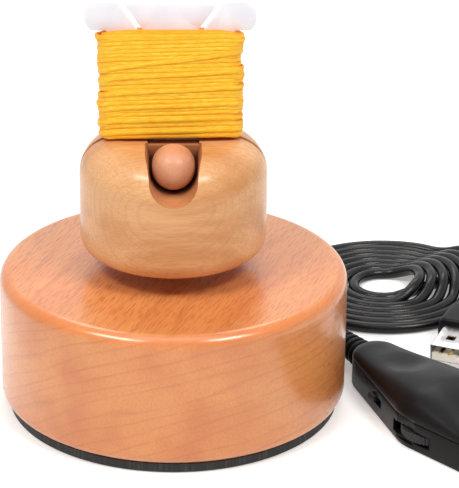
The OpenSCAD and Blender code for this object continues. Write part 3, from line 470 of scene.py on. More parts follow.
# %% Place in the log
def log_place(tree, fibre, pith):
    """Place in the log in mm: along the fibres, round the rings and outward from the pith."""
    along = Vector(fibre).normalized()
    from_middle = Vector((0, 0, 45)) - Vector(pith)
    across = from_middle - along * along.dot(from_middle)
    out = across.normalized()
    from_pith = add(tree, "VectorMath", [add(tree, "TexCoord").outputs["Object"], [1 / mm] * 3,
                                         [-v for v in pith]], operation="MULTIPLY_ADD")
    parts = [add(tree, "VectorMath", [from_pith, axis], operation="DOT_PRODUCT")
             for axis in (along, out.cross(along), out)]
    straight = add(tree, "CombineXYZ", dict(zip("XYZ", parts)))
    drift = add(tree, "TexNoise", {"Detail": 2.0}, spot_mm=(60, 30, 30), place=straight).outputs["Color"]
    grown = add(tree, "VectorMath", [drift, (0, 2.2, 2.2), straight], operation="MULTIPLY_ADD")
    split = add(tree, "SeparateXYZ", [grown])
    flat = add(tree, "CombineXYZ", {"X": split.outputs["Y"], "Y": split.outputs["Z"]})
    far = add(tree, "VectorMath", [flat], operation="LENGTH")
    turn = add(tree, "Math", [split.outputs["Y"], split.outputs["Z"]], operation="ARCTAN2")
    about = add(tree, "Math", [turn, across.length], operation="MULTIPLY")
    return add(tree, "CombineXYZ", {"X": split.outputs["X"], "Y": about, "Z": far})


print("pattern helper: log_place")

# %% Wood pattern
def wood(name, fibre, pith, ring_mm, tones, ray_depth, ring_depth, **finish):
    """fibre: direction of the fibres, pith: a point on the log's middle line in mm, ring_mm: width of
    a ring, tones: even wood, redder patches, the dark edge of a ring, and the dashes of the rays."""
    made, tree, shader = new_material(name, **finish)
    place = log_place(tree, fibre, pith)
    even, red, dark, ray = (linear(tone) for tone in tones)
    # slow patches of redder wood
    slow = add(tree, "TexNoise", {"Detail": 3.0}, spot_mm=(38, 15, 15), place=place)
    patch = add(tree, "MapRange", [slow, 0.42, 0.66])
    colour = add(tree, "Mix", {0: patch, 6: even, 7: red}, data_type="RGBA")
    # growth rings: each year darkens slowly and ends at a line that is strong in some places
    seasons = add(tree, "TexNoise", {"Detail": 1.0}, spot_mm=(80, 45, 7), place=place)
    uneven = add(tree, "MapRange", [seasons, 0.3, 0.7, -0.5, 0.5])
    depth = add(tree, "SeparateXYZ", [place]).outputs["Z"]
    years = add(tree, "Math", [depth, 1 / ring_mm, uneven], operation="MULTIPLY_ADD")
    season = add(tree, "Math", [years], operation="FRACT")
    late = add(tree, "ValToRGB", [season],
               stops=((0.0, "#000000"), (0.7, "#303030"), (0.9, "#FFFFFF"), (1.0, "#000000")))
    stretches = add(tree, "TexNoise", {"Detail": 3.0}, spot_mm=(30, 9, 3), place=place)
    strong = add(tree, "MapRange", [stretches, 0.35, 0.65, 0.3 * ring_depth, ring_depth])
    ring = add(tree, "Math", [late, strong], operation="MULTIPLY")
    colour = add(tree, "Mix", {0: ring, 6: colour, 7: dark}, data_type="RGBA")
    # fibres half a millimetre wide
    fibres = add(tree, "TexNoise", {"Detail": 3.0}, spot_mm=(14, 0.5, 0.5), place=place)
    thread = add(tree, "MapRange", [fibres, 0.4, 0.7, 0, 0.3])
    colour = add(tree, "Mix", {0: thread, 6: colour, 7: dark}, data_type="RGBA")
    # dashes of the rays, which fade out on end grain
    normal = add(tree, "TexCoord").outputs["Normal"]
    facing = add(tree, "VectorMath", [normal, Vector(fibre).normalized()], operation="DOT_PRODUCT")
    end_grain = add(tree, "Math", [facing], operation="ABSOLUTE")
    cells = add(tree, "TexVoronoi", spot_mm=(4.2, 0.36, 3), place=place)
    fade = add(tree, "Math", [cells, end_grain], operation="ADD")
    dash = add(tree, "MapRange", [fade, 0.24, 0.44, ray_depth, 0])
    feed(shader, "Base Color", add(tree, "Mix", {0: dash, 6: colour, 7: ray}, data_type="RGBA"))
    # the dashes and fibres stand in the finish as a slight relief and make it a little uneven
    height = add(tree, "Math", [dash, -0.6, fibres], operation="MULTIPLY_ADD")
    feed(shader, "Normal", add(tree, "Bump", {"Height": height, "Strength": 0.18, "Distance": 0.06 * mm}))
    rough = finish["Roughness"]
    feed(shader, "Roughness", add(tree, "MapRange", [fibres, 0.3, 0.7, rough - 0.05, rough + 0.06]))
    return made


print("material helper: wood")


# %% [markdown]
# ## Base
# The base is one block of beech, turned on a lathe: a straight side, a top edge rounded to 3 mm and
# a smaller round at the bottom. Under several coats of clear lacquer it shines like glass, and the
# head mirrors in its top. The rounded top edge is drawn in a deeper orange, as painted shade that
# stands in for the edge's weaker white reflection. The base is a profile swung round the axis, hollow
# below for the gearbox, with the hole for the lead bored through its back wall.

# %% Beech under clear lacquer
beech = wood("lacquered beech", (0.37, 0.93, 0), (48, -19, -103), 2.8,
             ("#E49556", "#D88248", "#B66838", "#8C4A22"), 0.44, 0.46, Roughness=0.42, IOR=1.45,
             Specular_IOR_Level=0.15, Coat_Weight=1.0, Coat_Roughness=0.22, Coat_IOR=1.6)
# painted shade: the rounded top edge, picked out by its upward normal, is mixed to a deeper orange
upward = add(beech.node_tree, "SeparateXYZ", [add(beech.node_tree, "TexCoord").outputs["Normal"]])
painted_edge_shade = add(beech.node_tree, "ValToRGB", [upward.outputs["Z"]],
               stops=((0.3, "#000000"), (0.6, "#BBBBBB"), (0.85, "#BBBBBB"), (0.98, "#000000")))
cover(beech, painted_edge_shade, "#D9741F")
report(beech)

# %% Cutters, rounded edges and hand-over of a piece
def bored(piece, *cutters):
    """Cuts closed meshes out of a piece. A cutter with a material of its own leaves it on the cut."""
    for cutter in cutters:
        if not cutter.data.materials:
            cutter.data.materials.append(piece.data.materials[0])
        cut = piece.modifiers.new("cut", "BOOLEAN")
        cut.object, cut.operation, cut.solver, cut.material_mode = cutter, "DIFFERENCE", "EXACT", "TRANSFER"
    settle(piece)
    for cutter in cutters:
        bpy.data.objects.remove(cutter)


def settle(piece):
    """Turns the result of a piece's modifiers into its own mesh."""
    result = bpy.data.meshes.new_from_object(piece.evaluated_get(bpy.context.evaluated_depsgraph_get()))
    piece.modifiers.clear()
    piece.data = result


def rounded_edges(piece, width_mm, angle=40, segments=3):
    """Breaks the sharp edges, as sanding or a mould's radius does."""
    bevel = piece.modifiers.new("rounded edges", "BEVEL")
    bevel.width, bevel.segments, bevel.limit_method = width_mm * mm, segments, "ANGLE"
    bevel.angle_limit = math.radians(angle)
    bevel.harden_normals, bevel.use_clamp_overlap = False, True
    settle(piece)


def rod(name, start, end, radius, steps=48):
    """A round cutter from one point to another, all in mm."""
    start, end = Vector(start), Vector(end)
    along = (end - start).normalized()
    side = along.orthogonal().normalized()
    rows = [[(place + radius * (math.cos(math.tau * k / steps) * side
                                + math.sin(math.tau * k / steps) * along.cross(side))) * mm
             for k in range(steps)] for place in (start, end)]
    made = loft(name, rows, None)
    weld(made)
    return made


def present(piece, body, slot, *nodes):
    """Lets a piece ride on its body and stand for its model nodes, which it hides. The slot is not used."""
    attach(piece, body)
    if nodes:
        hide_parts(*nodes)
    return piece


print("piece helpers: bored, settle, rounded_edges, rod, present")

# %% Turned base
top_round, bottom_round = 3, 2.4
board_r, board_t, hollow_r, hollow_top = 35.5, 5.5, 31.5, 27
bush_hole_r, cord_hole_r, cord_z = 4.03, 3.53, 9.9
r, low, top = base_r / mm, base_bottom / mm, base_top / mm
base_profile = [(board_r, low)] + arc((r - bottom_round, low + bottom_round), bottom_round, -90, 0, 8)
base_profile += arc((r - top_round, top - top_round), top_round, 0, 90, 14)
base_profile += [(r - 8, top), (bush_hole_r, top), (bush_hole_r, hollow_top), (hollow_r, hollow_top),
                 (hollow_r, board_t), (board_r, board_t), (board_r, low)]
base = turned("base", base_profile, beech, steps=256)
bored(base, rod("cord hole", (0, 20, cord_z), (0, 45, cord_z), cord_hole_r),
      rod("spot face", (0, 39.5, cord_z), (0, 45, cord_z), 5.1))
soften(base, 35)
present(base, "base", "base_beech", "base_body")
print("base has", len(base.data.polygons), "faces")

# %% [markdown]
# ## Foot pad
# A disc of black rubber under the base keeps it from sliding. Its cut edge has fine upright lines
# from the knife, and they catch the light. Their crests are drawn grey, as a painted highlight, so
# the black doesn't look flat.

# %% Foot pad
# painted highlight: the crests of the knife lines are drawn grey
rubber = grained("cut black rubber", (0.7, 0.7, 12), ((0.3, "#1B1D1D"), (0.56, "#2A2D2D"), (0.74, "#4A4E4D")),
                 0.5, 0.1, Roughness=0.62, Specular_IOR_Level=0.4)[0]
pad_overhang = 0.8
r, low, top = pad_high.x / mm + pad_overhang, pad_low.z / mm, pad_high.z / mm
pad_profile = [(0, low), (r - 0.4, low), (r, low + 0.3), (r, top - 0.3), (r - 0.3, top), (0, top)]
pad = turned("foot_pad_rubber", pad_profile, rubber, steps=256)
present(pad, "base", "pad_rubber", "foot_pad")
print(f"pad {2 * r:.1f} mm across")

# %% [markdown]
# ## Head
# The head is maple, a paler and quieter wood, turned to a dome and finished with a thin satin
# lacquer. Its slot is sawn right across and holds the card, and a round-nosed cutter made the finger
# channel in front. Sanding has rounded every lip a little, which draws a light line along it. The
# cuts are booleans on the turned dome, and a bevel gives the lips.
# Inside the channel the wood is bare and dull, drawn in darker tones, and it goes deep brown towards
# the back and down: both are painted shade for the shadow in the recess.
# The cutters carry that second maple and leave it on their cuts.

# %% Maple under satin lacquer, and bare with painted shade in the channel
# both come from one log: direction of the fibres, its middle line and the width of a ring
maple_log = (1, 0.05, 0.02), (-2, -28.5, 53), 1.5
maple = wood("satin maple", *maple_log, ("#E6B27E", "#D0925C", "#B07444", "#A06A40"), 0.24, 0.24,
             Roughness=0.45, IOR=1.45, Specular_IOR_Level=0.2, Coat_IOR=1.4, Coat_Weight=0.6,
             Coat_Roughness=0.2)
# bare maple for the channel, in darker tones than the lacquered maple as painted shade for the recess
raw_maple_painted_shade = wood("raw maple in the cut, with painted shade", *maple_log, ("#CE9062", "#C07C4C", "#A0643A", "#8E5630"), 0.16, 0.3,
                 Roughness=0.6, IOR=1.45)
tree = raw_maple_painted_shade.node_tree
place = add(tree, "SeparateXYZ", [add(tree, "TexCoord").outputs["Object"]])
# painted shade: deep brown towards the back of the channel and down from its top
inward = add(tree, "MapRange", [place.outputs["Y"], -16.5 * mm, -10.5 * mm, 0, 0.95])
downward = add(tree, "MapRange", [place.outputs["Z"], 61.5 * mm, 64.5 * mm, 1, 0.15])
cover(raw_maple_painted_shade, add(tree, "Math", [inward, downward], operation="MULTIPLY"), "#451405")
report(maple, raw_maple_painted_shade)

# %% Turned head
r, low, top = head_r / mm, head_bottom / mm, head_top / mm
dome_round, lower_round, flange_r, flange_t, shaft_r, shaft_top = 8.5, 4, 10.03, 1.6, 4.53, 50.2
slot_half, slot_bottom, channel_half, channel_floor, channel_back = 0.8, 55.6, 5.4, 56.1, -4.2
peg_z, grub_z, screw_circle = 61.5, 43.2, 7.2
head_profile = [(flange_r, low)] + arc((r - lower_round, low + lower_round), lower_round, -90, 0, 10)
head_profile += arc((r - dome_round, top - dome_round), dome_round, 0, 90, 24)
head_profile += [(0, top), (0, shaft_top), (shaft_r, shaft_top), (shaft_r, low + flange_t),
                 (flange_r, low + flange_t), (flange_r, low)]
head = turned("head", head_profile, maple, steps=192)


def slab(name, low_corner, high_corner, material=None, place=lambda x, y, z: Vector((x, y, z))):
    """A square-edged cutter between two corners in mm. place turns a point's three numbers into mm."""
    (a, b, c), (d, e, f) = low_corner, high_corner
    return loft(name, [[place(x, y, z) * mm for x, y in ((a, b), (d, b), (d, e), (a, e))] for z in (c, f)],
                material)


screw_places = arc((0, 0), screw_circle, 30, 270, 2)
flare = [(channel_half + out, z) for out, z in ((0, 61.6), (0.15, 62.8), (0.5, 64.2), (1.2, 65.6))]
channel_edge = arc((0, channel_floor + channel_half), channel_half, 180, 360, 32)
right_edge = flare + [(channel_half + 1.2, top + 5)]
channel_edge += right_edge + [(-x, z) for x, z in reversed(right_edge)]
channel = loft("channel", [[(x * mm, y * mm, z * mm) for x, z in channel_edge] for y in (-40, channel_back)],
               raw_maple_painted_shade)
weld(channel)
bored(head, slab("slot", (-40, -slot_half, slot_bottom), (40, slot_half, top + 5)), channel,
      # the card step's floor takes the channel maple with its painted shade
      slab("card step", (-channel_half - 0.4, channel_back - 1, 64.4), (channel_half + 0.4, 0, top + 5),
           raw_maple_painted_shade),
      rod("peg hole", (0, -10, peg_z), (0, 0, peg_z), 2.55),
      rod("grub hole", (0, 0, grub_z), (0, 30, grub_z), 1.7),
      *[rod("screw hole", (x, y, 36), (x, y, 45.5), 1.03) for x, y in screw_places])
rounded_edges(head, 0.35)
weld(head, 0.006 * mm)
soften(head, 40)
present(head, "head", "head_maple", "head_block")
print("head has", len(head.data.polygons), "faces")

# %% [markdown]
# ## Clamp peg
# The peg is a small turned knob of a redder wood on a round shank. Its shank runs through the back
# wall of the channel and presses on the card. It is a profile swung round the peg's own axis.

# %% Clamp peg
redwood = wood("waxed red beech", (0.2, 1, 0.1), (4, -12, 78), 2.2,
               ("#DA9C78", "#CE8A66", "#BC7C5A", "#A86440"), 0.4, 0.2,
               Roughness=0.45, Coat_Weight=0.25, Coat_Roughness=0.32, IOR=1.45)
shank_r, shank_end, knob_r, knob_back, knob_straight, back_round = 2.5, 0.55, 4.78, 7.5, 3.3, 0.6
peg_profile = [(0, shank_end), (shank_r - 0.2, shank_end), (shank_r, shank_end + 0.2), (shank_r, knob_back),
               (knob_r - back_round, knob_back)]
peg_profile += arc((knob_r - back_round, knob_back + back_round), back_round, -90, 0, 5)
peg_profile += arc((0, knob_back + knob_straight), knob_r, 0, 90, 18)
peg = turned("peg", peg_profile, redwood, steps=96)
peg.data.transform(Matrix.Translation((0, 0, peg_z * mm)) @ Matrix.Rotation(math.pi / 2, 4, "X"))
present(peg, "peg", "peg_wood", "clamp_peg")
print("peg from y", [round(v[1] / mm, 2) for v in (peg.bound_box[0], peg.bound_box[6])])

# %% [markdown]
# ## Card bobbin
# The bobbin is stamped from a sheet of white, translucent polypropylene 1 mm thick. Light goes in
# and scatters, so it looks milky and takes a little warmth from the floss beside it. Its outline is
# drawn as a quarter, with the rounded ear, the slit that catches the floss and half of the middle
# tab, then mirrored. Stamping leaves slightly soft edges, made here with a bevel.

# %% Card bobbin
milky, tree, shader = new_material("translucent white polypropylene", Roughness=0.38, IOR=1.49,
                                   Subsurface_Weight=0.6, Subsurface_Scale=0.8 * mm,
                                   Subsurface_Radius=(1.0, 0.95, 0.9))
pebble = add(tree, "TexNoise", {"Detail": 3.0}, spot_mm=(0.5, 0.5, 0.5))
cloud = add(tree, "TexNoise", {"Detail": 2.0}, spot_mm=(9, 9, 9))
feed(shader, "Base Color", add(tree, "ValToRGB", [cloud], stops=((0.35, "#E6E8F2"), (0.65, "#EEF0F8"))))
feed(shader, "Normal", add(tree, "Bump", {"Height": pebble, "Strength": 0.1, "Distance": 0.02 * mm}))

card_mid = (card_low.z + card_high.z) / 2 / mm
card_end, card_half, ear_r, waist, card_shift = 20.6, 19, 3.8, 14, -0.6
# the middle tab, the bottom of the slit, the slit's outer lip, the ear and the step to the waist
quarter = [(0, 20)] + arc((9.02, 19.3), 0.7, 90, -35, 6) + arc((6.7, 13.9), 0.5, 145, 325, 8)
quarter += arc((12.52, 19.6), 1.0, 145, 90, 6)
quarter += arc((card_half - ear_r, card_end - ear_r), ear_r, 90, -48, 20)
quarter += [(17.4, 13.8), (waist + 0.4, 13.8), (waist, 13.4)]
upper = [(-x, z) for x, z in reversed(quarter[1:])] + quarter
outline = upper + [(x, -z) for x, z in reversed(upper)]
card = loft("card", [[(x * mm, y * mm, (card_mid + z) * mm) for x, z in outline]
                     for y in (card_low.y / mm, card_high.y / mm)], milky)
weld(card)
card.data.transform(Matrix.Translation((card_shift * mm, 0, 0)))
rounded_edges(card, 0.18, angle=50)
soften(card, 40)
present(card, "bobbin", "card_plastic", "bobbin_card")
print("card outline has", len(outline), "points")

# %% [markdown]
# ## Embroidery floss
# The floss is mercerised cotton: six fine threads that lie loosely together, with a silky gloss. It
# is wound by hand, so the turns climb at slightly different angles, bunch up at the edges and
# sometimes cross. One strand is a tube that follows a flattened helix round the card. Seeded random
# numbers move each turn a little. A second, looser layer lies over the first, a few turns cross over
# both, and short inner windings close the hollow that would show from above and below. The six
# threads are grooves in the tube's own section, which turn slowly along it. Where a strand faces up or
# down, into the shade between two turns, its colour is mixed to a deep orange: painted shade for the
# light that bounces between the turns.

# %% Mercerised cotton
cotton, tree, shader = new_material("mercerised cotton floss", Roughness=0.45, Specular_IOR_Level=0.25,
                                    Sheen_Weight=0.04, Sheen_Roughness=0.35,
                                    Sheen_Tint=linear("#FFE9A8"), Subsurface_Weight=0.12,
                                    Subsurface_Scale=0.6 * mm, Subsurface_Radius=(1.0, 0.6, 0.2))
along_strand = add(tree, "TexCoord").outputs["UV"]
thread_cell = add(tree, "VectorMath", [along_strand, (0.5, 9.0, 1)], operation="MULTIPLY")
threads = add(tree, "TexNoise", {"Vector": thread_cell, "Scale": 1.0, "Detail": 3.0})
feed(shader, "Base Color", add(tree, "ValToRGB", [threads],
                               stops=((0.3, "#FFB01E"), (0.5, "#FFC630"), (0.7, "#FFD850"))))
feed(shader, "Normal", add(tree, "Bump", {"Height": threads, "Strength": 0.45, "Distance": 0.1 * mm}))
dye = add(tree, "TexNoise", {"Detail": 2.0}, spot_mm=(7, 7, 2.5))
cover(cotton, add(tree, "MapRange", [dye, 0.45, 0.7, 0, 0.5]), "#FFB41E")
# painted shade: surfaces facing up or down, in the grooves between turns, are mixed to a deep orange
upward = add(tree, "SeparateXYZ", [add(tree, "TexCoord").outputs["Normal"]]).outputs["Z"]
steep = add(tree, "Math", [upward], operation="ABSOLUTE")
cover(cotton, add(tree, "MapRange", [steep, 0.3, 0.85, 0, 0.85]), "#FF900A")
report(cotton)

# %% Strand that follows a path
def strand(name, path, radius, flat=0.52, sides=18, ply=6, groove=0.09, turn_mm=9):
    """A tube whose section has grooves between its threads; its UV map counts mm along the strand."""
    rows, lengths, run = [], [], 0
    for i, place in enumerate(path):
        ahead = (path[min(i + 1, len(path) - 1)] - path[max(i - 1, 0)]).normalized()
        up = (Vector((0, 0, 1)) - ahead * ahead.z).normalized()
        out = ahead.cross(up)
        run += (place - path[i - 1]).length if i else 0
        lengths.append(run)
        row = []
        for k in range(sides):
            angle = math.tau * k / sides
            twist = ply * angle + math.tau * run / turn_mm
            thick = radius * (1 - groove * (0.5 + 0.5 * math.cos(twist)))
            row.append((place + thick * (math.cos(angle) * out * flat + math.sin(angle) * up)) * mm)
        rows.append(row)
    made = loft(name, rows, cotton)
    chart = made.data.uv_layers.new(name="along strand")
    for face in made.data.polygons:
        corners = [divmod(made.data.loops[loop].vertex_index, sides) for loop in face.loop_indices]
        seam = max(k for i, k in corners) == sides - 1
        for loop, (i, k) in zip(face.loop_indices, corners):
            chart.data[loop].uv = (lengths[i], 1 if seam and k == 0 else k / sides)
    return made


print("floss helper: strand")

# %% Path of the wound floss
wind_seed = random.Random(7)
half_w, half_t = winding_high.x / mm, winding_high.y / mm
wind_bottom, wind_top = winding_low.z / mm - 0.8, card_mid + 14.2
# how far a turn climbs, how much of a turn's bulge the next one keeps, how much thinner the winding
# is at its sides, how far it sags there, and the least step between two points of a path
tilt, kept_bulge, thinner, sag, least_step = 0.35, 0.55, 0.3, 0.9, 0.25


def hand_wound(turns, bottom, top, loose):
    """Height of the floss at each half turn: front turns climb to the right, and none lies quite even."""
    heights = []
    for h in range(2 * turns + 2):
        even = bottom + (top - bottom) * min(1, max(0, (h - 0.5) / (2 * turns - 1)))
        height = even + (tilt if h % 2 else -tilt) + wind_seed.gauss(0, loose)
        heights.append(min(top, max(bottom, height)))
    return heights


def wound_path(heights, width, thick, bulge, steps=26, corner=2.2):
    """A strand that runs straight across the front and the back and turns sharply at the card's
    edges. Each turn reaches out a little more or less, by about the bulge, like the turn before it."""
    reach = [0.0, 0.0]
    for h in range(2, len(heights)):
        reach.append(kept_bulge * reach[h - 2] + wind_seed.gauss(0, bulge))
    path = []
    for h in range(len(heights) - 1):
        front = -1 if h % 2 == 0 else 1
        for i in range(steps):
            part = i / steps
            climb = heights[h] + (heights[h + 1] - heights[h]) * ease(part)
            swing = math.sin(math.pi * (part - 0.5))
            side = math.copysign(min(1.0, 1.09 * abs(swing) ** 0.8), swing) * -front
            stretch = width + reach[h if part < 0.5 else h + 1]
            x = side * stretch
            edge = min(1.0, (stretch - abs(x)) / corner)
            belly = 1 - thinner * (abs(x) / width) ** 4
            depth = thick * belly * math.sqrt(max(0.0, 1 - (1 - edge) ** 2))
            # it sags at the card's edges and along the back
            drop = sag * min(1.0, abs(x) / width) ** 8 + (sag * depth / thick if front > 0 else 0)
            place = Vector((x + card_shift, front * depth, max(climb - drop, wind_bottom + 0.5)))
            if not path or (place - path[-1]).length > least_step:
                path.append(place)
    return path


def layer_path(turns, r, loose, width, thick, bulge):
    """Path of a full layer of strands of radius r, from the lower to the upper end of the winding."""
    return wound_path(hand_wound(turns, wind_bottom + r, wind_top - r, loose), width, thick, bulge)


print(f"winding from {wind_bottom:.1f} to {wind_top:.1f} mm, half width {half_w:.1f} mm")

# %% Wound floss
under_r, over_r, inner_r = 0.7, 0.68, 0.6
under = strand("floss_under", layer_path(20, under_r, 0.08, half_w - under_r, half_t - under_r - 0.35, 0.05),
               under_r)
over = strand("floss_over", layer_path(26, over_r, 0.13, half_w - 0.1, half_t - over_r + 0.1, 0.2), over_r)
crossings = [66.8, 68.2, 69.6, 71.0, 72.6, 74.4, 76.0, 78.2, 79.6, 82.0, 81.4, 86.6, 86.0]
across = strand("floss_crossings", wound_path(crossings, half_w, half_t - over_r + 0.3, 0.15), over_r)
inner_top, inner_bottom, inner_step = wind_top - inner_r, wind_bottom + inner_r, 1.1
inner_ends = ([inner_top] * 3 + [inner_top - inner_step] * 2 + [inner_bottom + inner_step] * 2
              + [inner_bottom] * 3)
for layer, out in enumerate((0.85, 1.4, 1.95)):
    inner = strand(f"floss_inner_{layer + 1}", wound_path(inner_ends, waist + 0.3 + 0.4 * layer, out, 0.05),
                   inner_r)
    present(inner, "bobbin", "floss_cotton")
present(under, "bobbin", "floss_cotton", "floss_core")
present(over, "bobbin", "floss_cotton", "floss_winding")
present(across, "bobbin", "floss_cotton")
print("floss faces:", sum(len(piece.data.polygons) for piece in (under, over, across)))

# %% [markdown]
# ## Speed control
# The control in the lead is a small case like a computer mouse, moulded in black ABS in two shells
# that meet at a fine groove. A thumb wheel and a slide switch sit in its side wall, and a ribbed
# relief of soft PVC guards the lead at each end. The plan is a line round three circles. Rows of
# that outline, each drawn in towards the middle line, make the domed top.

# %% Moulded black ABS
abs_plastic = grained("satin black ABS", (0.25, 0.25, 0.25), ((0.3, "#0E0E10"), (0.7, "#151517")), 0.2,
                      0.03, Roughness=0.36, IOR=1.5, Specular_IOR_Level=0.14)[0]
report(abs_plastic)

# %% Outline of the case
end_h, case_top, case_wall = 10, 13.8, 1.5
case_left, hump_x, case_right = -22.8, 5, 21.3
case_circles = [(case_left, 6), (hump_x, 11.5), (case_right, 7.5)]
dip_x, dip_r, dip_depth = -10, 6.6, 1.3


def case_outline(inset):
    """Points round the case, each with the middle-line point that it is drawn in towards."""
    (x0, r0), (x1, r1), (x2, r2) = case_circles
    left = math.degrees(math.acos((r0 - r1) / (x1 - x0)))
    right = math.degrees(math.acos((r1 - r2) / (x2 - x1)))
    points = []
    for x, radius, start, end, steps in ((x0, r0, left, 360 - left, 24), (x1, r1, -left, -right, 6),
                                         (x2, r2, -right, right, 20), (x1, r1, right, left, 6)):
        for k in range(steps + 1):
            angle = math.radians(start + (end - start) * k / steps)
            reach = Vector((math.cos(angle), math.sin(angle))) * (radius - inset)
            points.append((Vector((x, 0)), reach))
    full = []
    for (m0, v0), (m1, v1) in zip(points, points[1:] + points[:1]):
        full.append((m0, v0))
        if (m1 - m0).length > 1:
            full += [(m0.lerp(m1, k / 12), v0.lerp(v1, k / 12)) for k in range(1, 12)]
    return full


def case_height(x):
    """Height of the case over its middle line: low ends and a hump."""
    end = case_left if x < hump_x else case_right
    share = min(1, max(0, (x - end) / (hump_x - end)))
    return end_h + (case_top - end_h) * (0.45 * share + 0.55 * share * share * (3 - 2 * share))


def case_dome(inset, base_z, drop, steps=14, power=2.5):
    """Rows of points from the parting line up over the top of the case, with a shallow round dip."""
    rows = []
    for i in range(steps + 1):
        share = math.sin(math.pi / 2 * i / steps)
        out = (1 - share ** power) ** (1 / power) if i < steps else 0
        row = []
        for middle, reach in case_outline(inset):
            flat = middle + reach * out
            dip = max(0.0, 1 - ((flat.x - dip_x) ** 2 + flat.y ** 2) / dip_r ** 2)
            rise = case_height(middle.x) - drop - base_z - dip_depth * dip ** 1.5
            height = base_z + rise * share
            row.append(control_point(flat.x, flat.y, height) * mm)
        rows.append(row)
    return rows


def case_walls(*levels):
    """Rows of the outline at (inset, height) levels."""
    return [[control_point(*(middle + reach), z) * mm for middle, reach in case_outline(inset)]
            for inset, z in levels]


print(len(case_outline(0)), "points round the case")

# %% Shells of the case
def control_rod(name, start, end, radius, steps=96):
    """A round cutter between two points counted along the control."""
    return rod(name, control_point(*start), control_point(*end), radius, steps)


def scoop():
    """The cutter of the hollow in the side wall, from which a thumb reaches the wheel."""
    return control_rod("scoop", (7.5, -24.6, 1.4), (7.5, -24.6, 7.6), 14)


def end_holes():
    """The cutters of the holes that the reliefs sit in."""
    return [control_rod("end hole", (s * 23.8, 0, 5), (s * 32, 0, 5), 2.6, 48) for s in (-1, 1)]


def domed(name, rows, material):
    """A loft whose last row folds on to the middle line: its cap goes, and the two sides are welded."""
    made = loft(name, rows, material)
    edit = bmesh.new()
    edit.from_mesh(made.data)
    edit.faces.ensure_lookup_table()
    edit.faces.remove(edit.faces[-1])
    edit.to_mesh(made.data)
    edit.free()
    weld(made)
    return made


lower_case = loft("control_lower", case_walls((0.7, 0), (0.2, 0.25), (0, 0.8), (0, 6.75), (0.3, 6.9),
                                              (0.3, 7)), abs_plastic)
upper_case = domed("control_upper", case_walls((0.3, 7.0), (0.3, 7.1)) + case_dome(0, 7.25, 0), abs_plastic)
bored(lower_case, loft("hollow", case_walls((case_wall, case_wall), (case_wall, 8)), None),
      scoop(), *end_holes(),
      slab("wheel slot", (1.2, -14, 2), (13.8, -7.9, 5), place=control_point),
      slab("switch slot", (-12.5, -13, 3.1), (-6.5, -5, 5.1), place=control_point),
      *[control_rod("screw hole", (x, 0, -1), (x, 0, 3), 1.8) for x in (-18, 19)])
hollow_rows = case_walls((case_wall, 6), (case_wall, 7.2)) + case_dome(case_wall, 7.3, case_wall)
bored(upper_case, domed("hollow", hollow_rows, None), scoop(), *end_holes())
for piece, node in ((lower_case, "control_lower_shell"), (upper_case, "control_upper_shell")):
    rounded_edges(piece, 0.12, angle=50, segments=2)
    soften(piece, 38)
    present(piece, "base", "case_plastic", node)
print("case faces:", len(lower_case.data.polygons) + len(upper_case.data.polygons))

# %% [markdown]
# The reliefs are cones of soft PVC with rounded ribs, turned round the lead. The same profile, made
# smaller, serves for the plug and for the entry into the base.

# %% Ribbed reliefs
relief_rubber = grained("satin black soft PVC", (0.4, 0.4, 0.4), ((0.3, "#0E0E10"), (0.7, "#161618")), 0.2,
                        0.04, Roughness=0.45, IOR=1.5, Specular_IOR_Level=0.15)[0]


def relief_profile(length, r_wall, r_end, ribs, bore=1.42):
    """(radius, distance from the wall) points of a cone with rounded ribs round a bored middle."""
    profile = [(bore, 0), (r_wall - 0.5, 0)]
    for k in range(ribs):
        start, wide = (k + 0.35) * length / (ribs + 0.3), 0.5 * length / ribs
        crest = r_wall + (r_end + 0.3 - r_wall) * k / ribs
        valley = r_wall - 0.5 + (r_end - r_wall + 0.5) * start / length
        profile += [(valley, start), (crest - 0.15, start + 0.05 * wide), (crest, start + 0.25 * wide),
                    (crest, start + 0.75 * wide), (crest - 0.15, start + 0.95 * wide),
                    (valley - 0.03, start + wide)]
    return profile + [(r_end, length - 0.2), (r_end - 0.2, length), (bore, length), (bore, 0)]


def turned_along(name, profile, material, place, along, steps=64):
    """Turns a profile round an axis that starts at a place in mm and points along a direction."""
    made = turned(name, profile, material, steps=steps)
    turn = Vector(along).to_track_quat("Z", "Y").to_matrix().to_4x4()
    made.data.transform(Matrix.Translation(Vector(place) * mm) @ turn)
    return made


for name, node, s in (("relief_in", "control_relief_in", -1), ("relief_out", "control_relief_out", 1)):
    collar = [(1.42, -4.2), (3, -4.2), (3, -3.2), (2.55, -3.2), (2.55, 0)]
    ribs = relief_profile(relief_l - 0.02, 3.4, 2.2, 5)[1:-1]
    made = turned_along(name, collar + ribs + collar[:1], relief_rubber,
                        control_point(s * (control_half + 0.02)), s * control_dir)
    present(made, "base", "cord_rubber", node)
print("each relief has", len(made.data.polygons), "faces")

# %% [markdown]
# ## Plug
# The USB-A plug is a moulded grip round a folded steel shell, 12 mm by 4.5 mm. The grip has a waist
# towards the lead and rounded edges. The shell is nickel-plated, bright and smooth, with the two
# square catch holes on each flat side. Inside lie a plastic tongue and four gold-plated contacts.

# %% Plug grip
plug_turn = Matrix.Translation(plug_at) @ Matrix.Rotation(coil_end_angle - math.pi / 2, 4, "Z")


def plug_point(x, y, z):
    """A point on the plug in mm: along it from where the lead ends, across it and up."""
    return plug_turn @ Vector((x, y, z))


def rounded_section(half_w_mm, half_t_mm, radius, steps=6):
    """Points round a rectangle with rounded corners, as (across, up) pairs."""
    corners = ((half_w_mm - radius, half_t_mm - radius, 0), (radius - half_w_mm, half_t_mm - radius, 90),
               (radius - half_w_mm, radius - half_t_mm, 180), (half_w_mm - radius, radius - half_t_mm, 270))
    return [p for y, z, start in corners for p in arc((y, z), radius, start, start + 90, steps)]


def plug_rows(levels, steps=6):
    """Rows of rounded rectangles: (place along the plug, half width, half thickness, radius)."""
    return [[plug_point(x, y, z) * mm for y, z in rounded_section(w, t, r, steps)] for x, w, t, r in levels]


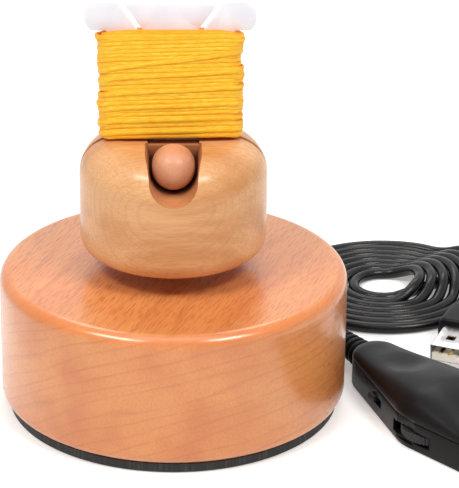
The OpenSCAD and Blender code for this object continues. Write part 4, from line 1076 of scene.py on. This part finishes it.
grip_end, half_grip = 23, 7.8
waist_line = [(10, 3.6, 3.3), (10.3, 3.9, 3.5), (10.8, 4.8, 3.8), (11.6, 6.2, 4), (12.6, 7.2, 4),
              (13.8, 7.75, 4), (15, half_grip, 4), (21.6, half_grip, 4), (22.5, 7.6, 3.9), (22.9, 7.2, 3.6),
              (grip_end, 6.9, 3.4)]
grip_levels = [(x, w, t, min(2.2, 0.8 * t)) for x, w, t in waist_line]
grip = loft("plug_grip_body", plug_rows(grip_levels), abs_plastic)
weld(grip)
pocket = loft("pocket", plug_rows([(x, 6.03, 2.28, 0.5) for x in (15, 30)]), None)
bored(grip, pocket, rod("bore", plug_at, plug_at + 14 * tail_dir, 1.43))
soften(grip, 40)
neck = turned_along("plug_relief", relief_profile(10, 3.3, 2.2, 4), relief_rubber,
                    plug_at + 10 * tail_dir, -tail_dir)
present(grip, "base", "case_plastic", "plug_grip")
present(neck, "base", "case_plastic", "plug_grip")
print("plug grip has", len(grip.data.polygons), "faces")

# %% Plug shell
nickel, tree, shader = new_material("bright nickel plating", Metallic=1.0, Roughness=0.2)
fine = add(tree, "TexNoise", {"Detail": 3.0}, spot_mm=(2.5, 2.5, 2.5))
feed(shader, "Base Color", add(tree, "ValToRGB", [fine], stops=((0.35, "#C9C6C5"), (0.65, "#D6D2D1"))))
feed(shader, "Roughness", add(tree, "MapRange", [fine, 0.3, 0.7, 0.16, 0.26]))
shell_start, shell_end = 15.2, 34.5
shell_half_w, shell_half_t, shell_wall = 6, 2.25, 0.3
sleeve_ends = ((shell_start, 0), (shell_end - 0.15, 0), (shell_end, 0.12), (shell_end, shell_wall),
               (shell_start + 0.8, shell_wall))
sleeve = loft("plug_sleeve", plug_rows([(x, shell_half_w - inset, shell_half_t - inset, 0.55 - inset)
                                        for x, inset in sleeve_ends], 4), nickel)
weld(sleeve)
bored(sleeve, *[slab("catch", (28.2, y - 1.1, -4), (30.6, y + 1.1, 4), place=plug_point)
                for y in (-shell_half_t, shell_half_t)])
soften(sleeve, 40)
present(sleeve, "base", "plug_steel", "plug_shell")
print(f"plug shell {2 * shell_half_w} mm by {2 * shell_half_t} mm")

# %% [markdown]
# ## Thumb wheel and switch
# The speed wheel is moulded in black acetal with fine ribs round its rim, so that a thumb can turn
# it. It looks out of the side of the case through a slot. The knob of the slide switch has small
# ridges across its face. Both are matt, because the mould was spark-eroded. The grain is finer than
# the picture can show, so it is drawn at 0.3 mm.

# %% Matt black acetal
acetal = grained("matt black acetal", (0.3, 0.3, 0.3), ((0.3, "#1D1D1F"), (0.7, "#29292C")), 0.25, 0.04,
                 detail=2.0, Roughness=0.5, IOR=1.48, Specular_IOR_Level=0.4)[0]
report(acetal)

# %% Ribbed wheel
wheel_low, wheel_high = (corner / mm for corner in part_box("speed_wheel"))
wheel_mid, wheel_r, wheel_ribs = (wheel_low + wheel_high) / 2, (wheel_high.x - wheel_low.x) / 2, 48
rim_r, rib_points = 7.15, 6
# radius, height and how far the ribs reach there
wheel_profile = [(1.4, 0, 0), (6.5, 0, 0), (6.9, 0.06, 0.2), (rim_r, 0.25, 1), (rim_r, 1.95, 1),
                 (6.9, 2.14, 0.2), (6.5, 2.2, 0), (3.2, 2.2, 0), (3, 2, 0), (1.4, 2, 0), (1.4, 0, 0)]
wheel_rows = []
for radius, z, ribbed in wheel_profile:
    row = []
    for k in range(wheel_ribs * rib_points):
        angle = math.tau * k / (wheel_ribs * rib_points)
        crest = max(0, math.cos(wheel_ribs * angle) + 0.35) / 1.35
        reach = radius + (wheel_r - rim_r) * ribbed * crest
        row.append(Vector((wheel_mid.x + reach * math.cos(angle), wheel_mid.y + reach * math.sin(angle),
                           wheel_low.z + z)) * mm)
    wheel_rows.append(row)
wheel = loft("thumb_wheel", wheel_rows, acetal, capped=False)
weld(wheel)
soften(wheel, 40)
present(wheel, "thumb", "wheel_plastic", "speed_wheel")
print("wheel", round(2 * wheel_r, 1), "mm across with", wheel_ribs, "ribs")

# %% Ridged switch knob
knob_at, knob_back_y, knob_face, knob_z, knob_half = -11, -7.1, -9.3, 3.3, 1.3
ridges, ridge_depth, face_steps = 4, 0.14, 40
knob_rows = []
for inset, z in ((0.25, 0), (0.06, 0.06), (0, 0.25), (0, 1.35), (0.06, 1.54), (0.25, 1.6)):
    half = knob_half - inset
    outline = [(-half, knob_back_y), (half, knob_back_y)]
    for k in range(face_steps + 1):
        groove = 0.5 - 0.5 * math.cos(math.tau * ridges * k / face_steps)
        outline.append((half - 2 * half * k / face_steps, knob_face + inset + ridge_depth * groove))
    knob_rows.append([control_point(knob_at + x, y, knob_z + z) * mm for x, y in outline])
switch_cap = loft("switch_cap", knob_rows, acetal, sharp=45)
stem = slab("switch_stem", (knob_at - 0.6, -7.3, 3.5), (knob_at + 0.6, -4.9, 4.7), acetal, control_point)
present(switch_cap, "switch", "wheel_plastic", "switch_knob")
present(stem, "switch", "wheel_plastic", "switch_knob")
print(f"switch knob {2 * knob_half:.1f} mm wide with {ridges} grooves")

# %% [markdown]
# ## Grommet
# Where the lead leaves the base, a grommet of black soft PVC closes the hole. A flange bears on wood
# outside, a second one holds it inside, and a ribbed nose lets the lead bend gently. It is turned
# from one profile, like the reliefs.

# %% Grommet in the back of the base
inner_end, wood_face, bore = 29.9, 41, 1.43
nose = [(radius, wood_face + far) for radius, far in relief_profile(9, 3.7, 2.4, 4)[1:-2]]
grommet_profile = [(bore, inner_end), (4.1, inner_end), (4.3, 30.1), (4.3, 30.9), (4.1, 31.1), (3.5, 31.1),
                   (3.5, 39.5), (4.75, 39.5), (5, 39.75), (5, 40.5), (4.8, 40.8), (4.4, wood_face)]
grommet_profile += nose + [(bore, wood_face + 9), (bore, inner_end)]
grommet = turned_along("grommet", [(radius, y - inner_end) for radius, y in grommet_profile], relief_rubber,
                       (0, inner_end, cord_z), (0, 1, 0))
present(grommet, "base", "cord_rubber", "cord_grommet")
print("grommet has", len(grommet.data.polygons), "faces")

# %% [markdown]
# ## Metals inside
# The gearbox, the motor and the screws hide in the base, and show only from below or in an exploded
# view. Their model shapes are right, so they keep them and get finishes. A worked metal shows the
# marks of its making: rolling lines on plate, rings from the lathe on brass, fine scratches on a
# ground shaft. A noise stretched along the marks gives both the tone and the roughness.

# %% Worked metals
def worked_metal(name, tones, marks_mm, rough):
    """tones: dark and light hex colours, marks_mm: size of a mark along X, Y and Z, rough: (low, high)."""
    made, tree, shader = new_material(name, Metallic=1.0, Roughness=rough[0])
    marks = add(tree, "TexNoise", {"Detail": 3.0}, spot_mm=marks_mm)
    bloom = add(tree, "TexNoise", {"Detail": 2.0}, spot_mm=(6, 6, 6))
    bloom = add(tree, "Math", [bloom, 0.3], operation="MULTIPLY")
    both = add(tree, "Math", [marks, 0.7, bloom], operation="MULTIPLY_ADD")
    feed(shader, "Base Color", add(tree, "ValToRGB", [both], stops=((0.35, tones[0]), (0.65, tones[1]))))
    feed(shader, "Roughness", add(tree, "MapRange", [both, 0.35, 0.65, rough[0], rough[1]]))
    feed(shader, "Normal", add(tree, "Bump", {"Height": marks, "Strength": 0.3, "Distance": 0.01 * mm}))
    return made


def dress(material, *nodes):
    """Gives a model part its finish, and leaves its shape as it is."""
    for node in nodes:
        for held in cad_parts[node].material_slots:
            held.material = material


dress(worked_metal("zinc-plated steel", ("#B9BDC1", "#D3D6D8"), (0.5, 0.5, 0.5), (0.28, 0.42)),
      "board_screws", "plate_screws", "motor_screws", "hub_screws", "control_screws")
dress(worked_metal("turned brass", ("#C39B4E", "#DDBB70"), (9, 9, 0.25), (0.2, 0.34)),
      "top_bush", "plate_posts", "motor_terminals", "motor_pinion", "hub_flange")
dress(worked_metal("cold-rolled steel plate", ("#A3A6A8", "#BFC2C3"), (14, 0.3, 0.3), (0.3, 0.45)),
      "gearbox_top_plate", "gearbox_motor_plate")
dress(worked_metal("ground steel shaft", ("#B4B6B7", "#D2D4D5"), (0.3, 0.3, 0.12), (0.12, 0.24)),
      "idler_axle", "output_shaft", "motor_shaft")
dress(worked_metal("drawn steel can, nickel-plated", ("#B2B1AC", "#CDCBC5"), (0.4, 0.4, 9), (0.2, 0.32)),
      "motor_can", "motor_armature", "switch_body")
dress(worked_metal("blackened steel", ("#232325", "#3A3A3D"), (0.4, 0.4, 0.4), (0.35, 0.5)), "grub_screw")
dress(worked_metal("gold-plated contacts", ("#C99A3A", "#E6C06A"), (3, 0.2, 0.2), (0.16, 0.26)),
      "plug_contacts")
print("metals dressed")

# %% [markdown]
# ## Plastics, magnets and the circuit board
# Nylon gears are milky: light enters them a little way. Ferrite magnets are grey and grainy. The
# board in the control is glass-fibre laminate under green solder mask, and its copper tracks show
# through as paler lines 0.5 mm wide.

# %% Moulded plastics
def moulded(name, dark, light, grain_mm, rough, **finish):
    """A moulded part, a little rougher where its tone is lighter."""
    made, tree, shader, grain = grained(name, [grain_mm] * 3, ((0.32, dark), (0.68, light)), 0.15, 0.03,
                                        Roughness=rough, **finish)
    feed(shader, "Roughness", add(tree, "MapRange", [grain, 0.3, 0.7, rough - 0.04, rough + 0.06]))
    return made


nylon = moulded("moulded white nylon", "#E4DFD2", "#F1EEE5", 1.4, 0.42, Subsurface_Weight=0.2,
                Subsurface_Scale=1.0 * mm)
dress(nylon, "idler_gear", "output_gear", "motor_end_cap", "cord_tie", "plug_tongue")
dress(moulded("sintered ferrite", "#35353A", "#4C4C50", 0.3, 0.6), "motor_magnets")
dress(moulded("red PVC insulation", "#A81F1A", "#C02A22", 1.0, 0.38), "inner_leads", "control_leads")
dress(moulded("blue phenolic", "#28538F", "#386BAE", 0.8, 0.3), "speed_pot")
dress(jacket, "inner_cord")
report(nylon)

# %% Circuit board
board, tree, shader = new_material("glass-fibre laminate under solder mask", Roughness=0.3, IOR=1.5)
tracks = add(tree, "TexBrick", {"Color1": linear("#1D5B38"), "Color2": linear("#226540"),
                                "Mortar": linear("#3F8C5C"), "Mortar Size": 0.06, "Brick Width": 1.0,
                                "Row Height": 0.5}, spot_mm=(4, 4, 4))
cloth = add(tree, "TexNoise", {"Detail": 2.0}, spot_mm=(0.6, 0.6, 0.6))
feed(shader, "Base Color", tracks)
cover(board, add(tree, "MapRange", [cloth, 0.3, 0.7, 0, 0.25]), "#174A2D")
bump = add(tree, "Bump", {"Height": tracks.outputs["Fac"], "Strength": 0.3, "Distance": 0.04 * mm})
feed(shader, "Normal", bump)
dress(board, "control_board")
report(board)

# %% [markdown]
# The board that closes the base is birch plywood. Its faces show long pale grain, and its edge shows
# the plies, dark and light in turn, each 0.6 mm thick.

# %% Birch plywood
plywood, tree, shader, grain = grained("birch plywood", (25, 0.9, 1.2), ((0.3, "#C9A873"), (0.7, "#E0C796")),
                                       0.2, 0.05, detail=4.0, Roughness=0.55, IOR=1.45)
plies = add(tree, "TexWave", {"Distortion": 0.4}, spot_mm=(40, 40, 3.77), bands_direction="Z")
cover(plywood, add(tree, "MapRange", [plies, 0.45, 0.75, 0, 0.45]), "#A67E4C")
dress(plywood, "bottom_board")
report(plywood)

# %% [markdown]
# ## Finished size
# The box round the finished pieces is printed in mm.

low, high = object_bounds()
print("finished box in mm:", [round(v / mm, 1) for v in (*low, *high)])
